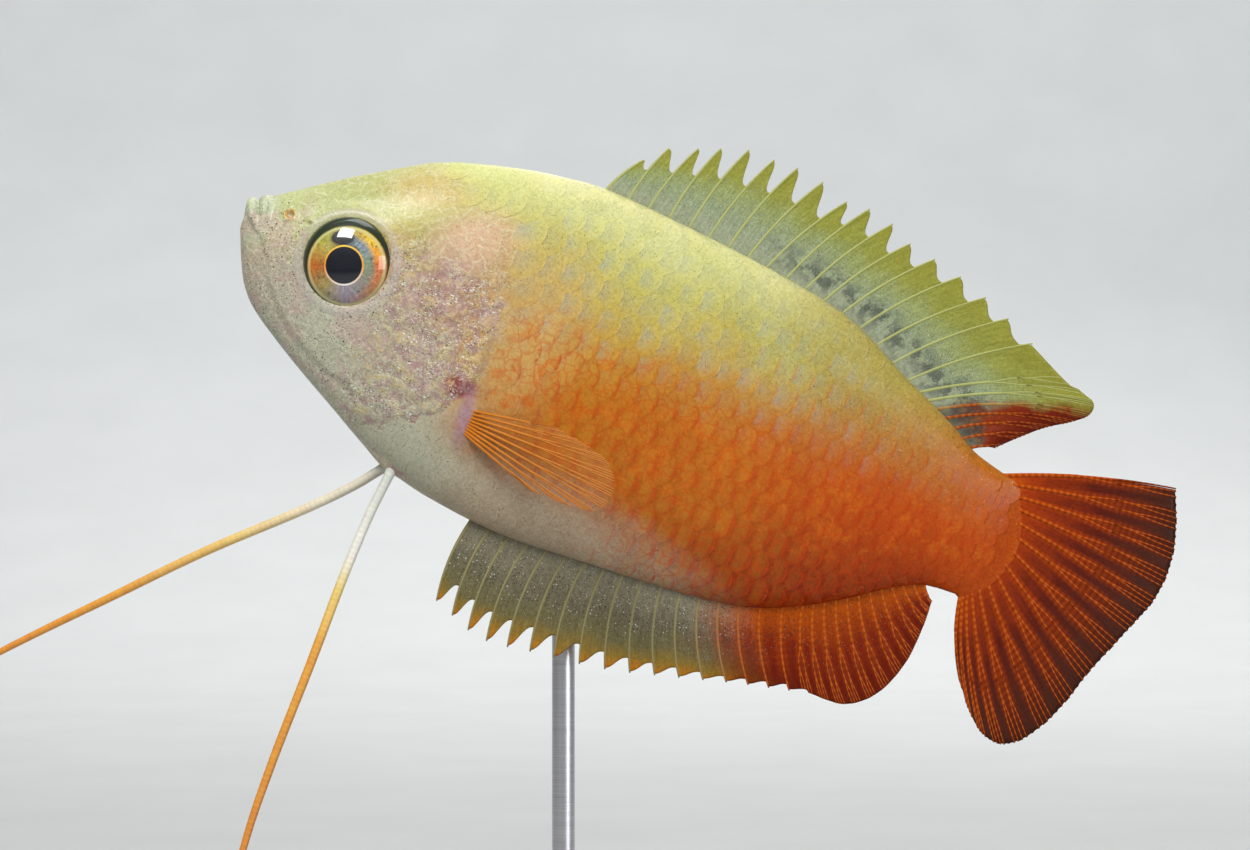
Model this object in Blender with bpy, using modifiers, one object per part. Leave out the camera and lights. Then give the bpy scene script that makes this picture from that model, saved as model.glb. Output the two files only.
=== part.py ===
"""Honey gourami, modelled at life size and held by a plain display stand.

Metres, +Z up. The fish heads towards -X and its left side faces -Y. The origin is the middle
of the underside of the stand's base.

The fish is drawn in its own straight frame, in hundredths of its standard length (snout tip to
the root of the tail fin): u runs back from the snout tip, w towards its right side and v up.
The function place() then swings the tail a little, pitches the fish nose up and lifts it onto
the stand.
"""

import math

import bmesh
import bpy
import numpy as np
from mathutils import Matrix, Vector

# Driving dimensions
STANDARD_LENGTH = 0.045
PITCH = math.radians(22.77)
SNOUT_X = -0.02166
SNOUT_Z = 0.05058
GAP = 0.0003
BASE_LENGTH = 0.046
BASE_WIDTH = 0.032
BASE_HEIGHT = 0.0036
BASE_CORNER = 0.007
BASE_BEVEL = 0.0006
ROD_RADIUS = 0.00065
ROD_X = -0.0035
ROD_Y = 0.0021
ROD_SOCKET_DEPTH = 0.0022

# The unit of every outline below, and the lengths that are real sizes, in that unit
UNIT = STANDARD_LENGTH / 100
WELD_DISTANCE = 1e-7
CLEARANCE = GAP / UNIT
MEMBRANE = 0.00025 / UNIT
MARGIN = 0.00013 / UNIT

# Swing of the tail towards the fish's right side
SWING_START = 45.0
TAIL_SWING = 3.4

# Body in side view and from above, as (u, value)
TOP_LINE = (
    (0.1, 3.5), (1.6, 5.0), (3.1, 6.1), (5.0, 7.5), (10.2, 11.3), (15.5, 14.8), (19.8, 17.4),
    (25.0, 19.3), (33.0, 21.4), (41.0, 22.4), (53.0, 21.9), (67.0, 20.7), (74.0, 19.5),
    (84.5, 15.1), (91.8, 12.1), (96.2, 9.9), (100.5, 8.9),
)
BOTTOM_LINE = (
    (0.1, -0.3), (1.6, -3.6), (3.1, -6.3), (5.0, -8.4), (9.5, -11.3), (19.0, -16.3), (26.7, -20.0),
    (34.3, -22.1), (44.8, -22.9), (55.4, -22.1), (71.0, -20.6), (77.2, -19.3), (83.0, -16.7),
    (88.3, -13.4), (93.5, -9.7), (97.0, -8.1), (100.5, -7.8),
)
HALF_WIDTH = (
    (0.1, 1.5), (3.1, 3.2), (7.5, 5.0), (14.6, 6.7), (25.0, 8.2), (33.0, 8.5), (41.0, 8.2),
    (53.0, 7.1), (67.0, 5.4), (80.0, 3.8), (91.8, 2.7), (100.5, 1.8),
)
BODY_START = 0.1
BODY_END = 100.5
BODY_STATIONS = 44
BODY_SIDES = 32
BODY_SPACING = 1.25
FRONT_POINT = (-0.3, 1.6)

# Cuts that part the body: edge of the gill covers, and the front of the tail stalk
CUT_REACH = 14.0
CUT_SAMPLES = 28
GILL_EDGE = (
    (26.5, 25.0), (28.8, 16.5), (30.9, 12.0), (33.3, 4.8), (34.9, -1.5), (34.6, -6.5),
    (32.0, -11.0), (27.0, -14.6), (22.6, -17.0), (21.2, -24.0),
)
STALK_CUT = ((77.0, 24.0), (76.2, 8.0), (76.2, -8.0), (77.0, -24.0))
CHEEK_EDGE = (
    (37.0, 12.6), (29.6, 12.2), (24.6, 9.0), (22.4, 3.0), (22.8, -4.0), (24.6, -9.5), (27.0, -12.6),
    (31.0, -15.5), (37.0, -15.5),
)
COVER_DEPTH = 4.9

# Head: eyes, lips and nostrils
EYE_CENTRE = (14.6, 1.2)
EYE_RADIUS = 5.65
EYE_BULGE = 2.6
EYE_SUNK = 1.25
EYE_YAW = math.radians(8.0)
LOWER_LIP = ((2.5, -2.7, 0.7), (0.8, -1.7, 2.5), (0.3, 0.0, 3.4), (0.8, 1.7, 2.5), (2.5, 2.7, 0.7))
UPPER_LIP = ((3.3, -3.0, 0.2), (2.2, -1.9, 3.4), (1.8, 0.0, 4.3), (2.2, 1.9, 3.4), (3.3, 3.0, 0.2))
LIP_RADIUS = 0.9
LIP_END_SHARE = 0.3
LIP_POINTS = 15
NOSTRILS = ((5.5, 3.9, 0.75), (8.3, 3.8, 0.5))
NOSTRIL_DEPTH = 0.9

# Fins: lift of a root off the body, height of a ray above the membrane, width of half a ray,
# and the step along the root from the last spine to the first soft ray
ROOT_LIFT = 1.15 * CLEARANCE
RIDGE = 0.00013 / UNIT
RAY_HALF = 0.00013 / UNIT
LAST_STEP = 2.2

# Where the margin is smooth, the membrane meets a ray at nearly its whole length
SMOOTH_MARGIN = (0.99, 0.99)
SMOOTH_LAG = 0.99

# Dorsal fin: where its roots start and end, and the tips of its rays from front to back.
# The notches are the shares of a spine's length at which the membrane behind the spine in
# front of it ends, at the front and at the rear of the fin.
DORSAL_ROOT = (40.8, 96.0)
SPINY_DORSAL_TIPS = (
    (43.1, 27.2), (50.7, 32.1), (59.3, 33.9), (68.7, 33.0), (77.1, 31.4), (86.9, 29.0), (97.2, 25.2),
)
SOFT_DORSAL_TIPS = (
    (105.0, 22.4), (108.0, 21.2), (107.2, 19.0), (104.2, 17.0), (101.4, 14.6), (98.2, 11.4),
)
DORSAL_SPINES = 17
DORSAL_SOFT_RAYS = 7
SOFT_DORSAL_START = 87.4
DORSAL_NOTCHES = (0.48, 0.93)
DORSAL_BOW = -0.035
SOFT_DORSAL_BOW = -0.05
FOLD_TOP = 24.0
FOLD_HEIGHT = 8.0
FOLD_REACH = 1.6

# Anal fin
ANAL_ROOT = (40.6, 97.0)
SPINY_ANAL_TIPS = (
    (40.7, -33.4), (47.5, -35.6), (54.9, -34.6), (63.4, -33.2), (71.4, -30.9), (79.0, -28.6), (85.8, -26.8),
)
SOFT_ANAL_TIPS = (
    (88.2, -26.3), (93.0, -25.9), (96.4, -23.0), (98.2, -18.0), (98.4, -12.6), (98.1, -9.6),
)
ANAL_SPINES = 17
ANAL_SOFT_RAYS = 12
SOFT_ANAL_START = 83.4
ANAL_NOTCHES = (0.80, 0.93)
ANAL_BOW = 0.05

# Tail fin, whose outer rays bend away from its middle one
TAIL_TIPS = (
    (121.8, 15.6), (124.6, 9.0), (125.1, 2.5), (123.2, -3.5), (120.6, -10.5), (118.4, -17.6),
    (114.6, -22.8), (110.0, -22.4), (105.4, -17.6),
)
TAIL_RAYS = 15
TAIL_BOW = 0.08
TAIL_MIDDLE = 0.35

# Pectoral fins
PECTORAL_ROOT = ((37.6, -9.4), (38.4, -13.4))
PECTORAL_TIPS = ((46.5, -7.6), (53.6, -8.8), (56.0, -12.2), (54.3, -15.4), (46.8, -16.0))
PECTORAL_RAYS = 9
PECTORAL_SPREAD = 0.34

# Pelvic threads, from root to tip, as (u, w, v), and their radii there
RIGHT_THREAD = (
    (27.6, 1.4, -21.4), (25.2, 1.9, -24.6), (20.6, 2.9, -29.7), (11.1, 5.0, -39.4),
    (1.9, 7.2, -49.8), (-7.3, 9.2, -60.3), (-19.7, 11.6, -75.2),
)
LEFT_THREAD = (
    (29.2, -1.4, -21.6), (28.9, -2.0, -27.0), (29.0, -3.2, -35.2), (29.5, -5.0, -46.0),
    (30.0, -6.8, -60.2), (31.0, -8.2, -71.3), (34.2, -10.4, -92.8),
)
THREAD_RADIUS_ROOT = 0.00028
THREAD_RADIUS_TIP = 0.00014
THREAD_LENGTHS = 3
THREAD_POINTS = 11

COLOURS = {
    "skin": (0.72, 0.42, 0.12, 1.0),
    "head": (0.62, 0.58, 0.38, 1.0),
    "eye": (0.30, 0.14, 0.03, 1.0),
    "fin": (0.60, 0.16, 0.03, 1.0),
    "spiny_fin": (0.42, 0.44, 0.22, 1.0),
    "thread": (0.80, 0.62, 0.36, 1.0),
    "stand": (0.03, 0.03, 0.035, 1.0),
    "rod": (0.60, 0.60, 0.62, 1.0),
}


def clear_scene():
    """Remove every object and collection that is in the file."""
    for item in list(bpy.data.objects):
        bpy.data.objects.remove(item, do_unlink=True)
    for item in list(bpy.data.collections):
        bpy.data.collections.remove(item)


def make_collection(name):
    """Make a collection under the scene."""
    made = bpy.data.collections.new(name)
    bpy.context.scene.collection.children.link(made)
    return made


def make_material(name, roughness=0.4, metallic=0.0):
    """Make a Principled material in one of the colours."""
    made = bpy.data.materials.new(name)
    made.use_nodes = True
    shader = made.node_tree.nodes["Principled BSDF"]
    shader.inputs["Base Color"].default_value = COLOURS[name]
    shader.inputs["Roughness"].default_value = roughness
    shader.inputs["Metallic"].default_value = metallic
    return made


def swing(u):
    """Sideways place of the fish's middle plane at u."""
    past = max(0.0, (u - SWING_START) / (100.0 - SWING_START))
    return TAIL_SWING * past * past


def place(u, w, v):
    """World point of a point in the fish's own frame."""
    along = u * math.cos(PITCH) + v * math.sin(PITCH)
    up = v * math.cos(PITCH) - u * math.sin(PITCH)
    return Vector((SNOUT_X + UNIT * along, UNIT * (w + swing(u)), SNOUT_Z + UNIT * up))


def read_line(line, u):
    """Value at u of a line given as (u, value), by cubic pieces without overshoot."""
    stations = np.array([point[0] for point in line])
    values = np.array([point[1] for point in line])
    steps = np.diff(values) / np.diff(stations)
    slopes = np.zeros(len(line))
    slopes[0] = steps[0]
    slopes[-1] = steps[-1]
    for index in range(1, len(line) - 1):
        before = steps[index - 1]
        after = steps[index]
        if before * after > 0.0:
            slopes[index] = 2.0 * before * after / (before + after)
    at = float(np.clip(u, stations[0], stations[-1]))
    cell = int(np.clip(np.searchsorted(stations, at) - 1, 0, len(line) - 2))
    width = stations[cell + 1] - stations[cell]
    t = (at - stations[cell]) / width
    start = (1.0 + 2.0 * t) * (1.0 - t) ** 2 * values[cell]
    start += t * (1.0 - t) ** 2 * width * slopes[cell]
    end = t * t * (3.0 - 2.0 * t) * values[cell + 1]
    end += t * t * (t - 1.0) * width * slopes[cell + 1]
    return float(start + end)


def follow(points, t):
    """Point at t, from 0 to 1, on a smooth curve through the points."""
    path = np.array(points, float)
    count = len(path) - 1
    cell = int(np.clip(math.floor(t * count), 0, count - 1))
    local = t * count - cell
    start = path[cell]
    end = path[cell + 1]
    before = path[cell - 1] if cell > 0 else 2.0 * start - end
    after = path[cell + 2] if cell + 2 <= count else 2.0 * end - start
    constant = 2.0 * start
    linear = (end - before) * local
    square = (2.0 * before - 5.0 * start + 4.0 * end - after) * local ** 2
    cube = (3.0 * start - 3.0 * end + after - before) * local ** 3
    return 0.5 * (constant + linear + square + cube)


def body_section(u):
    """Top, bottom, middle height and half width of the body at u."""
    top = read_line(TOP_LINE, u)
    bottom = read_line(BOTTOM_LINE, u)
    return top, bottom, 0.5 * (top + bottom), read_line(HALF_WIDTH, u)


def body_side(u, v):
    """Half width of the body at u and the height v."""
    top, _, middle, half_width = body_section(u)
    share = min(1.0, abs(v - middle) / (top - middle))
    return half_width * math.sqrt(1.0 - share * share)


def add_object(name, mesh, collection, material=None):
    """Put a mesh into the collection as an object."""
    made = bpy.data.objects.new(name, mesh)
    collection.objects.link(made)
    if material:
        mesh.materials.append(material)
    return made


def mesh_from(name, points, faces):
    """Make a mesh with its faces pointing outwards."""
    mesh = bpy.data.meshes.new(name)
    mesh.from_pydata(points, [], faces)
    shape = bmesh.new()
    shape.from_mesh(mesh)
    bmesh.ops.recalc_face_normals(shape, faces=shape.faces)
    shape.to_mesh(mesh)
    shape.free()
    return mesh


def shade_round(made, angle=40.0):
    """Shade an object smooth and keep its edges sharp."""
    made.data.shade_smooth()
    made.data.set_sharp_from_angle(angle=math.radians(angle))


def combine(target, cutter, operation, solver="EXACT"):
    """Apply a Boolean of the cutter to the target."""
    step = target.modifiers.new(operation.title(), "BOOLEAN")
    step.operation = operation
    step.solver = solver
    step.object = cutter
    bpy.context.view_layer.update()
    settled = bpy.data.meshes.new_from_object(target.evaluated_get(bpy.context.evaluated_depsgraph_get()))
    target.modifiers.remove(step)
    target.data = settled


def keep_largest(made):
    """Keep only the largest closed surface of an object."""
    shape = bmesh.new()
    shape.from_mesh(made.data)
    islands = find_islands(shape)
    for island in islands[1:]:
        bmesh.ops.delete(shape, geom=island, context="VERTS")
    shape.to_mesh(made.data)
    shape.free()


def find_islands(shape):
    """List the separate surfaces of a bmesh, the largest volume first."""
    unseen = set(shape.verts)
    islands = []
    while unseen:
        start = unseen.pop()
        island = [start]
        queue = [start]
        while queue:
            for edge in queue.pop().link_edges:
                for corner in edge.verts:
                    if corner in unseen:
                        unseen.remove(corner)
                        island.append(corner)
                        queue.append(corner)
        islands.append(island)

    def extent(island):
        spans = [max(p.co[axis] for p in island) - min(p.co[axis] for p in island) for axis in range(3)]
        return spans[0] * spans[1] * spans[2]

    return sorted(islands, key=extent, reverse=True)


def split_islands(made, names, collection):
    """Turn the separate surfaces of an object, from -X to +X, into objects with the names."""
    shape = bmesh.new()
    shape.from_mesh(made.data)
    islands = find_islands(shape)[:len(names)]
    islands.sort(key=lambda island: sum(p.co.x for p in island) / len(island))
    kept = [[p.index for p in island] for island in islands]
    shape.free()
    pieces = {}
    for name, indices in zip(names, kept):
        copy = bmesh.new()
        copy.from_mesh(made.data)
        wanted = set(indices)
        spare = [p for p in copy.verts if p.index not in wanted]
        bmesh.ops.delete(copy, geom=spare, context="VERTS")
        mesh = bpy.data.meshes.new(name)
        copy.to_mesh(mesh)
        copy.free()
        pieces[name] = add_object(name, mesh, collection)
    return pieces


def make_loft(rings, front, back):
    """Points and faces of a closed loft through rings of equal size, fanned to its end points."""
    sides = len(rings[0])
    points = [point for ring in rings for point in ring]
    faces = []
    for row in range(len(rings) - 1):
        for side in range(sides):
            after = (side + 1) % sides
            first = row * sides
            second = first + sides
            faces.append((first + side, first + after, second + after, second + side))
    points.append(front)
    points.append(back)
    last = (len(rings) - 1) * sides
    for side in range(sides):
        after = (side + 1) % sides
        faces.append((side, after, len(points) - 2))
        faces.append((last + side, last + after, len(points) - 1))
    return points, faces


def body_mesh(grow=0.0):
    """Mesh of the whole body as one closed loft, larger all round by grow."""
    rings = []
    for index in range(BODY_STATIONS):
        share = (index / (BODY_STATIONS - 1)) ** BODY_SPACING
        u = BODY_START + (BODY_END - BODY_START) * share
        top, _, middle, half_width = body_section(u)
        ring = []
        for side in range(BODY_SIDES):
            angle = 2.0 * math.pi * side / BODY_SIDES
            across = (half_width + grow) * math.cos(angle)
            height = middle + (top - middle + grow) * math.sin(angle)
            ring.append(place(u, across, height))
        rings.append(ring)
    _, _, end_middle, _ = body_section(BODY_END)
    front = place(FRONT_POINT[0], 0.0, FRONT_POINT[1])
    back = place(BODY_END, 0.0, end_middle)
    points, faces = make_loft(rings, front, back)
    return mesh_from("body", points, faces)


def beside(line, t, offset):
    """Point at t on the curve through a line's points, moved across it by the offset."""
    ahead = follow(line, min(1.0, t + 0.01)) - follow(line, max(0.0, t - 0.01))
    normal = np.array((-ahead[1], ahead[0])) / np.hypot(*ahead)
    return follow(line, t) + normal * offset


def slab_cutter(name, outline, inner, outer, collection):
    """Cutter with an outline in side view, between two sideways places."""
    shape = bmesh.new()
    face = shape.faces.new([shape.verts.new(place(spot[0], inner, spot[1])) for spot in outline])
    raised = bmesh.ops.extrude_face_region(shape, geom=[face])
    moved = [item for item in raised["geom"] if isinstance(item, bmesh.types.BMVert)]
    bmesh.ops.translate(shape, verts=moved, vec=(0.0, UNIT * (outer - inner), 0.0))
    bmesh.ops.recalc_face_normals(shape, faces=shape.faces)
    mesh = bpy.data.meshes.new(name)
    shape.to_mesh(mesh)
    shape.free()
    return as_cutter(add_object(name, mesh, collection))


def ribbon_cutter(name, line, collection):
    """Cutter that is a curved wall, one gap thick, across the body along a line in side view."""
    outline = []
    for offset in (-0.5 * CLEARANCE, 0.5 * CLEARANCE):
        edge = [beside(line, index / (CUT_SAMPLES - 1), offset) for index in range(CUT_SAMPLES)]
        outline += edge if offset < 0.0 else edge[::-1]
    return slab_cutter(name, outline, -CUT_REACH, CUT_REACH, collection)


def as_cutter(made):
    """Show an object as a wire guide that isn't rendered."""
    made.hide_render = True
    made.display_type = "WIRE"
    return made


def cover_cutter(name, side, inset, inner, collection):
    """Block over one gill cover, from the depth inner outwards, with its front edge moved back."""
    outline = [beside(CHEEK_EDGE, index / (CUT_SAMPLES - 1), inset) for index in range(CUT_SAMPLES)]
    return slab_cutter(name, outline, side * inner, side * CUT_REACH, collection)


def ellipsoid(name, centre, radii, collection, segments=24, rings=12, yaw=0.0):
    """Ellipsoid with its poles at its sides, turned by yaw about the fish's upright axis."""
    shape = bmesh.new()
    bmesh.ops.create_uvsphere(shape, u_segments=segments, v_segments=rings, radius=1.0)
    upright = Matrix.Rotation(math.pi / 2.0, 3, "X")
    scale = Matrix.Diagonal(radii)
    turn = Matrix.Rotation(yaw, 3, "Z") @ scale @ upright
    for corner in shape.verts:
        corner.co = place(*(Vector(centre) + turn @ corner.co))
    bmesh.ops.recalc_face_normals(shape, faces=shape.faces)
    mesh = bpy.data.meshes.new(name)
    shape.to_mesh(mesh)
    shape.free()
    return add_object(name, mesh, collection)


def eye_place(side):
    """Centre of an eye."""
    u, v = EYE_CENTRE
    return (u, side * (body_side(u, v) - EYE_SUNK), v)


def make_tube(name, points, radii, collection, resolution=2):
    """Round bar through world points, thick as the radii say, made as a curve and turned to a mesh."""
    curve = bpy.data.curves.new(name, "CURVE")
    curve.dimensions = "3D"
    curve.bevel_depth = max(radii)
    curve.bevel_resolution = resolution
    curve.use_fill_caps = True
    line = curve.splines.new("POLY")
    line.points.add(len(points) - 1)
    for knot, point, radius in zip(line.points, points, radii):
        knot.co = (*point, 1.0)
        knot.radius = radius / curve.bevel_depth
    guide = bpy.data.objects.new(name, curve)
    collection.objects.link(guide)
    bpy.context.view_layer.update()
    mesh = bpy.data.meshes.new_from_object(guide.evaluated_get(bpy.context.evaluated_depsgraph_get()))
    bpy.data.objects.remove(guide, do_unlink=True)
    shape = bmesh.new()
    shape.from_mesh(mesh)
    bmesh.ops.remove_doubles(shape, verts=shape.verts, dist=WELD_DISTANCE)
    bmesh.ops.recalc_face_normals(shape, faces=shape.faces)
    shape.to_mesh(mesh)
    shape.free()
    mesh.name = name
    return add_object(name, mesh, collection)


def make_lip(name, line, collection):
    """One lip, a bent roll that thins towards the corners of the mouth."""
    points = []
    radii = []
    for index in range(LIP_POINTS):
        t = index / (LIP_POINTS - 1)
        points.append(place(*follow(line, t)))
        full = math.sin(math.pi * t) ** 0.6
        radii.append(UNIT * LIP_RADIUS * (LIP_END_SHARE + (1.0 - LIP_END_SHARE) * full))
    return make_tube(name, points, radii, collection, resolution=3)


def join_lips(head, cutters):
    """Fuse both lips to the head."""
    for name, line in (("lower_lip", LOWER_LIP), ("upper_lip", UPPER_LIP)):
        combine(head, as_cutter(make_lip(name, line, cutters)), "UNION", solver="MANIFOLD")


def cut_nostrils(head, side, cutters):
    """Sink the two nostrils of one side into the head."""
    for number, (u, v, radius) in enumerate(NOSTRILS):
        centre = (u, side * body_side(u, v), v)
        name = f"nostril_{number}_{side}"
        pit = ellipsoid(name, centre, (radius, NOSTRIL_DEPTH, radius), cutters, segments=10, rings=6)
        combine(head, as_cutter(pit), "DIFFERENCE")


def make_body(parts, cutters, materials):
    """Make the body and part it into head, gill covers, trunk and tail stalk."""
    whole = add_object("body", body_mesh(), cutters)
    combine(whole, ribbon_cutter("gill_edge", GILL_EDGE, cutters), "DIFFERENCE")
    combine(whole, ribbon_cutter("stalk_cut", STALK_CUT, cutters), "DIFFERENCE")
    pieces = split_islands(whole, ("head", "trunk", "tail_stalk"), parts)
    as_cutter(whole)
    head = pieces["head"]
    for side, word in ((-1, "left"), (1, "right")):
        cover = add_object(f"gill_cover_{word}", head.data.copy(), parts, materials["head"])
        combine(cover, cover_cutter(f"cover_{word}", side, CLEARANCE, COVER_DEPTH, cutters), "INTERSECT")
        keep_largest(cover)
        shade_round(cover)
    for side, word in ((-1, "left"), (1, "right")):
        recess = cover_cutter(f"recess_{word}", side, 0.0, COVER_DEPTH - CLEARANCE, cutters)
        combine(head, recess, "DIFFERENCE")
    join_lips(head, cutters)
    for side, word in ((-1, "left"), (1, "right")):
        room = EYE_RADIUS + CLEARANCE
        depth = EYE_BULGE + CLEARANCE
        radii = (room, depth, room)
        socket = ellipsoid(f"socket_{word}", eye_place(side), radii, cutters, yaw=side * EYE_YAW)
        combine(head, as_cutter(socket), "DIFFERENCE")
        cut_nostrils(head, side, cutters)
    keep_largest(head)
    head.data.materials.append(materials["head"])
    pieces["trunk"].data.materials.append(materials["skin"])
    pieces["tail_stalk"].data.materials.append(materials["skin"])
    for piece in pieces.values():
        shade_round(piece)


def make_eyes(parts, materials):
    """Make both eyes."""
    for side, word in ((-1, "left"), (1, "right")):
        radii = (EYE_RADIUS, EYE_BULGE, EYE_RADIUS)
        eye = ellipsoid(f"eye_{word}", eye_place(side), radii, parts, 22, 10, yaw=side * EYE_YAW)
        eye.data.materials.append(materials["eye"])
        shade_round(eye)


class Ray:
    """One ray of a fin, from its root to its tip in side view, bowed forward by a share of its length."""

    def __init__(self, root, tip, bow):
        self.root = np.array(root, float)
        self.tip = np.array(tip, float)
        self.bow = bow

    def at(self, t):
        """Point at t, from 0 at the root to 1 at the tip."""
        chord = self.tip - self.root
        side = np.array((chord[1], -chord[0])) * self.bow
        return self.root + chord * t + side * 4.0 * t * (1.0 - t)

    def beside(self, t, offset):
        """Point at t, moved across the ray, towards the rear where offset is positive."""
        ahead = self.at(min(1.0, t + 0.02)) - self.at(max(0.0, t - 0.02))
        normal = np.array((ahead[1], -ahead[0])) / np.hypot(*ahead)
        return self.at(t) + normal * offset


def fin_columns(rays, rear, notches, closing=None, rows=5, lag=0.97, hollow=0.10):
    """Columns of points from root to margin: the ridge of each ray, its feet and the membrane between.

    rear is 1 or -1, the side of a ray on which the next one lies. notches are the shares of the
    next ray's length at which the membrane behind a ray ends, at the front and at the rear of
    the fin. closing is the ray in front of which the fin stops, or None. lag is the share of a
    ray's length at which the membrane leaves it, and hollow is how far the margin between two
    rays curves inwards.
    """
    columns = []
    shares = [row / (rows - 1) for row in range(rows)]
    offset = rear * RAY_HALF
    columns.append([(rays[0].beside(t, -offset * (1.0 - 0.6 * t)), 0.0) for t in shares])
    for index, ray in enumerate(rays):
        columns.append([(ray.at(t), 1.0) for t in shares])
        columns.append([(ray.beside(t * lag, offset * (1.0 - 0.4 * t)), 0.0) for t in shares])
        following = rays[index + 1] if index + 1 < len(rays) else closing
        if following is None:
            continue
        depth = notches[0] + (notches[1] - notches[0]) * index / (len(rays) - 1)
        spread = offset
        if index + 1 == len(rays):
            spread += rear * CLEARANCE
        front = [following.beside(t * depth, -spread) for t in shares]
        straight = 0.5 * (ray.at(lag) + front[-1])
        inward = 0.5 * (ray.at(0.5 * lag) + following.at(0.5 * depth)) - straight
        margin = straight + inward * hollow
        middle = []
        for t in shares:
            near = 0.5 * (ray.at(t * lag) + following.beside(t * depth, -spread))
            middle.append(near + (margin - straight) * t)
        columns.append([(point, 0.0) for point in middle])
        columns.append([(point, 0.0) for point in front])
    return columns


def make_fin(name, columns, lateral, collection, material):
    """Closed fin from its columns, split into triangles alike on both faces.

    lateral gives the sideways place of the membrane at (u, v) and at the share t of the height.
    """
    rows = len(columns[0])
    count = len(columns)
    points = []
    for side in (-1, 1):
        for column in columns:
            for row, (spot, ridge) in enumerate(column):
                t = row / (rows - 1)
                thick = MEMBRANE + (MARGIN - MEMBRANE) * t ** 3
                thick += ridge * RIDGE * (1.0 - t)
                points.append(place(spot[0], lateral(spot, t) + side * thick, spot[1]))
    faces = []
    half = count * rows
    for col in range(count - 1):
        for row in range(rows - 1):
            a = col * rows + row
            b = a + 1
            c = a + rows + 1
            d = a + rows
            faces.extend(((a, b, c), (a, c, d)))
            faces.extend(((half + a, half + c, half + b), (half + a, half + d, half + c)))
    border = list(range(rows))
    border += [col * rows + rows - 1 for col in range(1, count)]
    border += [(count - 1) * rows + row for row in range(rows - 2, -1, -1)]
    border += [col * rows for col in range(count - 2, 0, -1)]
    for index, start in enumerate(border):
        end = border[(index + 1) % len(border)]
        faces.extend(((start, half + end, end), (start, half + start, half + end)))
    made = add_object(name, mesh_from(name, points, faces), collection, material)
    shade_round(made, 50.0)


def dorsal_root(u):
    """Root of a dorsal ray, just above the back."""
    return (u, read_line(TOP_LINE, u) + ROOT_LIFT)


def anal_root(u):
    """Root of an anal ray, just below the belly."""
    return (u, read_line(BOTTOM_LINE, u) - ROOT_LIFT)


def tail_root(t):
    """Root of a tail ray, at the share t of the way down the end of the tail stalk."""
    top, bottom, _, _ = body_section(BODY_END)
    return (BODY_END + ROOT_LIFT, top + (bottom - top) * t)


def in_middle(_spot, _t):
    """Sideways place of a fin that stands in the fish's middle plane."""
    return 0.0


def soft_dorsal_fold(spot, t):
    """Sideways place of the rear dorsal lobe, whose lower rays curl away to the right."""
    return FOLD_REACH * t * t * float(np.clip((FOLD_TOP - spot[1]) / FOLD_HEIGHT, 0.0, 1.0))


def make_dorsal(parts, materials):
    """Make the spiny and the soft part of the dorsal fin."""
    spines = []
    for index in range(DORSAL_SPINES):
        t = index / (DORSAL_SPINES - 1)
        u = DORSAL_ROOT[0] + (SOFT_DORSAL_START - LAST_STEP - DORSAL_ROOT[0]) * t
        spines.append(Ray(dorsal_root(u), follow(SPINY_DORSAL_TIPS, t), DORSAL_BOW))
    soft = []
    for index in range(DORSAL_SOFT_RAYS):
        t = index / (DORSAL_SOFT_RAYS - 1)
        u = SOFT_DORSAL_START + (DORSAL_ROOT[1] - SOFT_DORSAL_START) * t
        soft.append(Ray(dorsal_root(u), follow(SOFT_DORSAL_TIPS, t), SOFT_DORSAL_BOW))
    columns = fin_columns(spines, 1, DORSAL_NOTCHES, soft[0])
    make_fin("dorsal_fin_spiny", columns, in_middle, parts, materials["spiny_fin"])
    columns = fin_columns(soft, 1, SMOOTH_MARGIN, lag=SMOOTH_LAG, hollow=0.0)
    make_fin("dorsal_fin_soft", columns, soft_dorsal_fold, parts, materials["fin"])


def make_anal(parts, materials):
    """Make the spiny and the soft part of the anal fin."""
    spines = []
    for index in range(ANAL_SPINES):
        t = index / (ANAL_SPINES - 1)
        u = ANAL_ROOT[0] + (SOFT_ANAL_START - LAST_STEP - ANAL_ROOT[0]) * t
        spines.append(Ray(anal_root(u), follow(SPINY_ANAL_TIPS, t), ANAL_BOW))
    soft = []
    for index in range(ANAL_SOFT_RAYS):
        t = index / (ANAL_SOFT_RAYS - 1)
        u = SOFT_ANAL_START + (ANAL_ROOT[1] - SOFT_ANAL_START) * t
        soft.append(Ray(anal_root(u), follow(SOFT_ANAL_TIPS, t), ANAL_BOW))
    columns = fin_columns(spines, -1, ANAL_NOTCHES, soft[0])
    make_fin("anal_fin_spiny", columns, in_middle, parts, materials["spiny_fin"])
    columns = fin_columns(soft, -1, SMOOTH_MARGIN, lag=SMOOTH_LAG, hollow=0.0)
    make_fin("anal_fin_soft", columns, in_middle, parts, materials["fin"])


def make_tail(parts, materials):
    """Make the tail fin."""
    rays = []
    for index in range(TAIL_RAYS):
        t = index / (TAIL_RAYS - 1)
        rays.append(Ray(tail_root(t), follow(TAIL_TIPS, t), TAIL_BOW * (t - TAIL_MIDDLE)))
    columns = fin_columns(rays, 1, SMOOTH_MARGIN, lag=SMOOTH_LAG, hollow=0.0)
    make_fin("caudal_fin", columns, in_middle, parts, materials["fin"])


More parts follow.
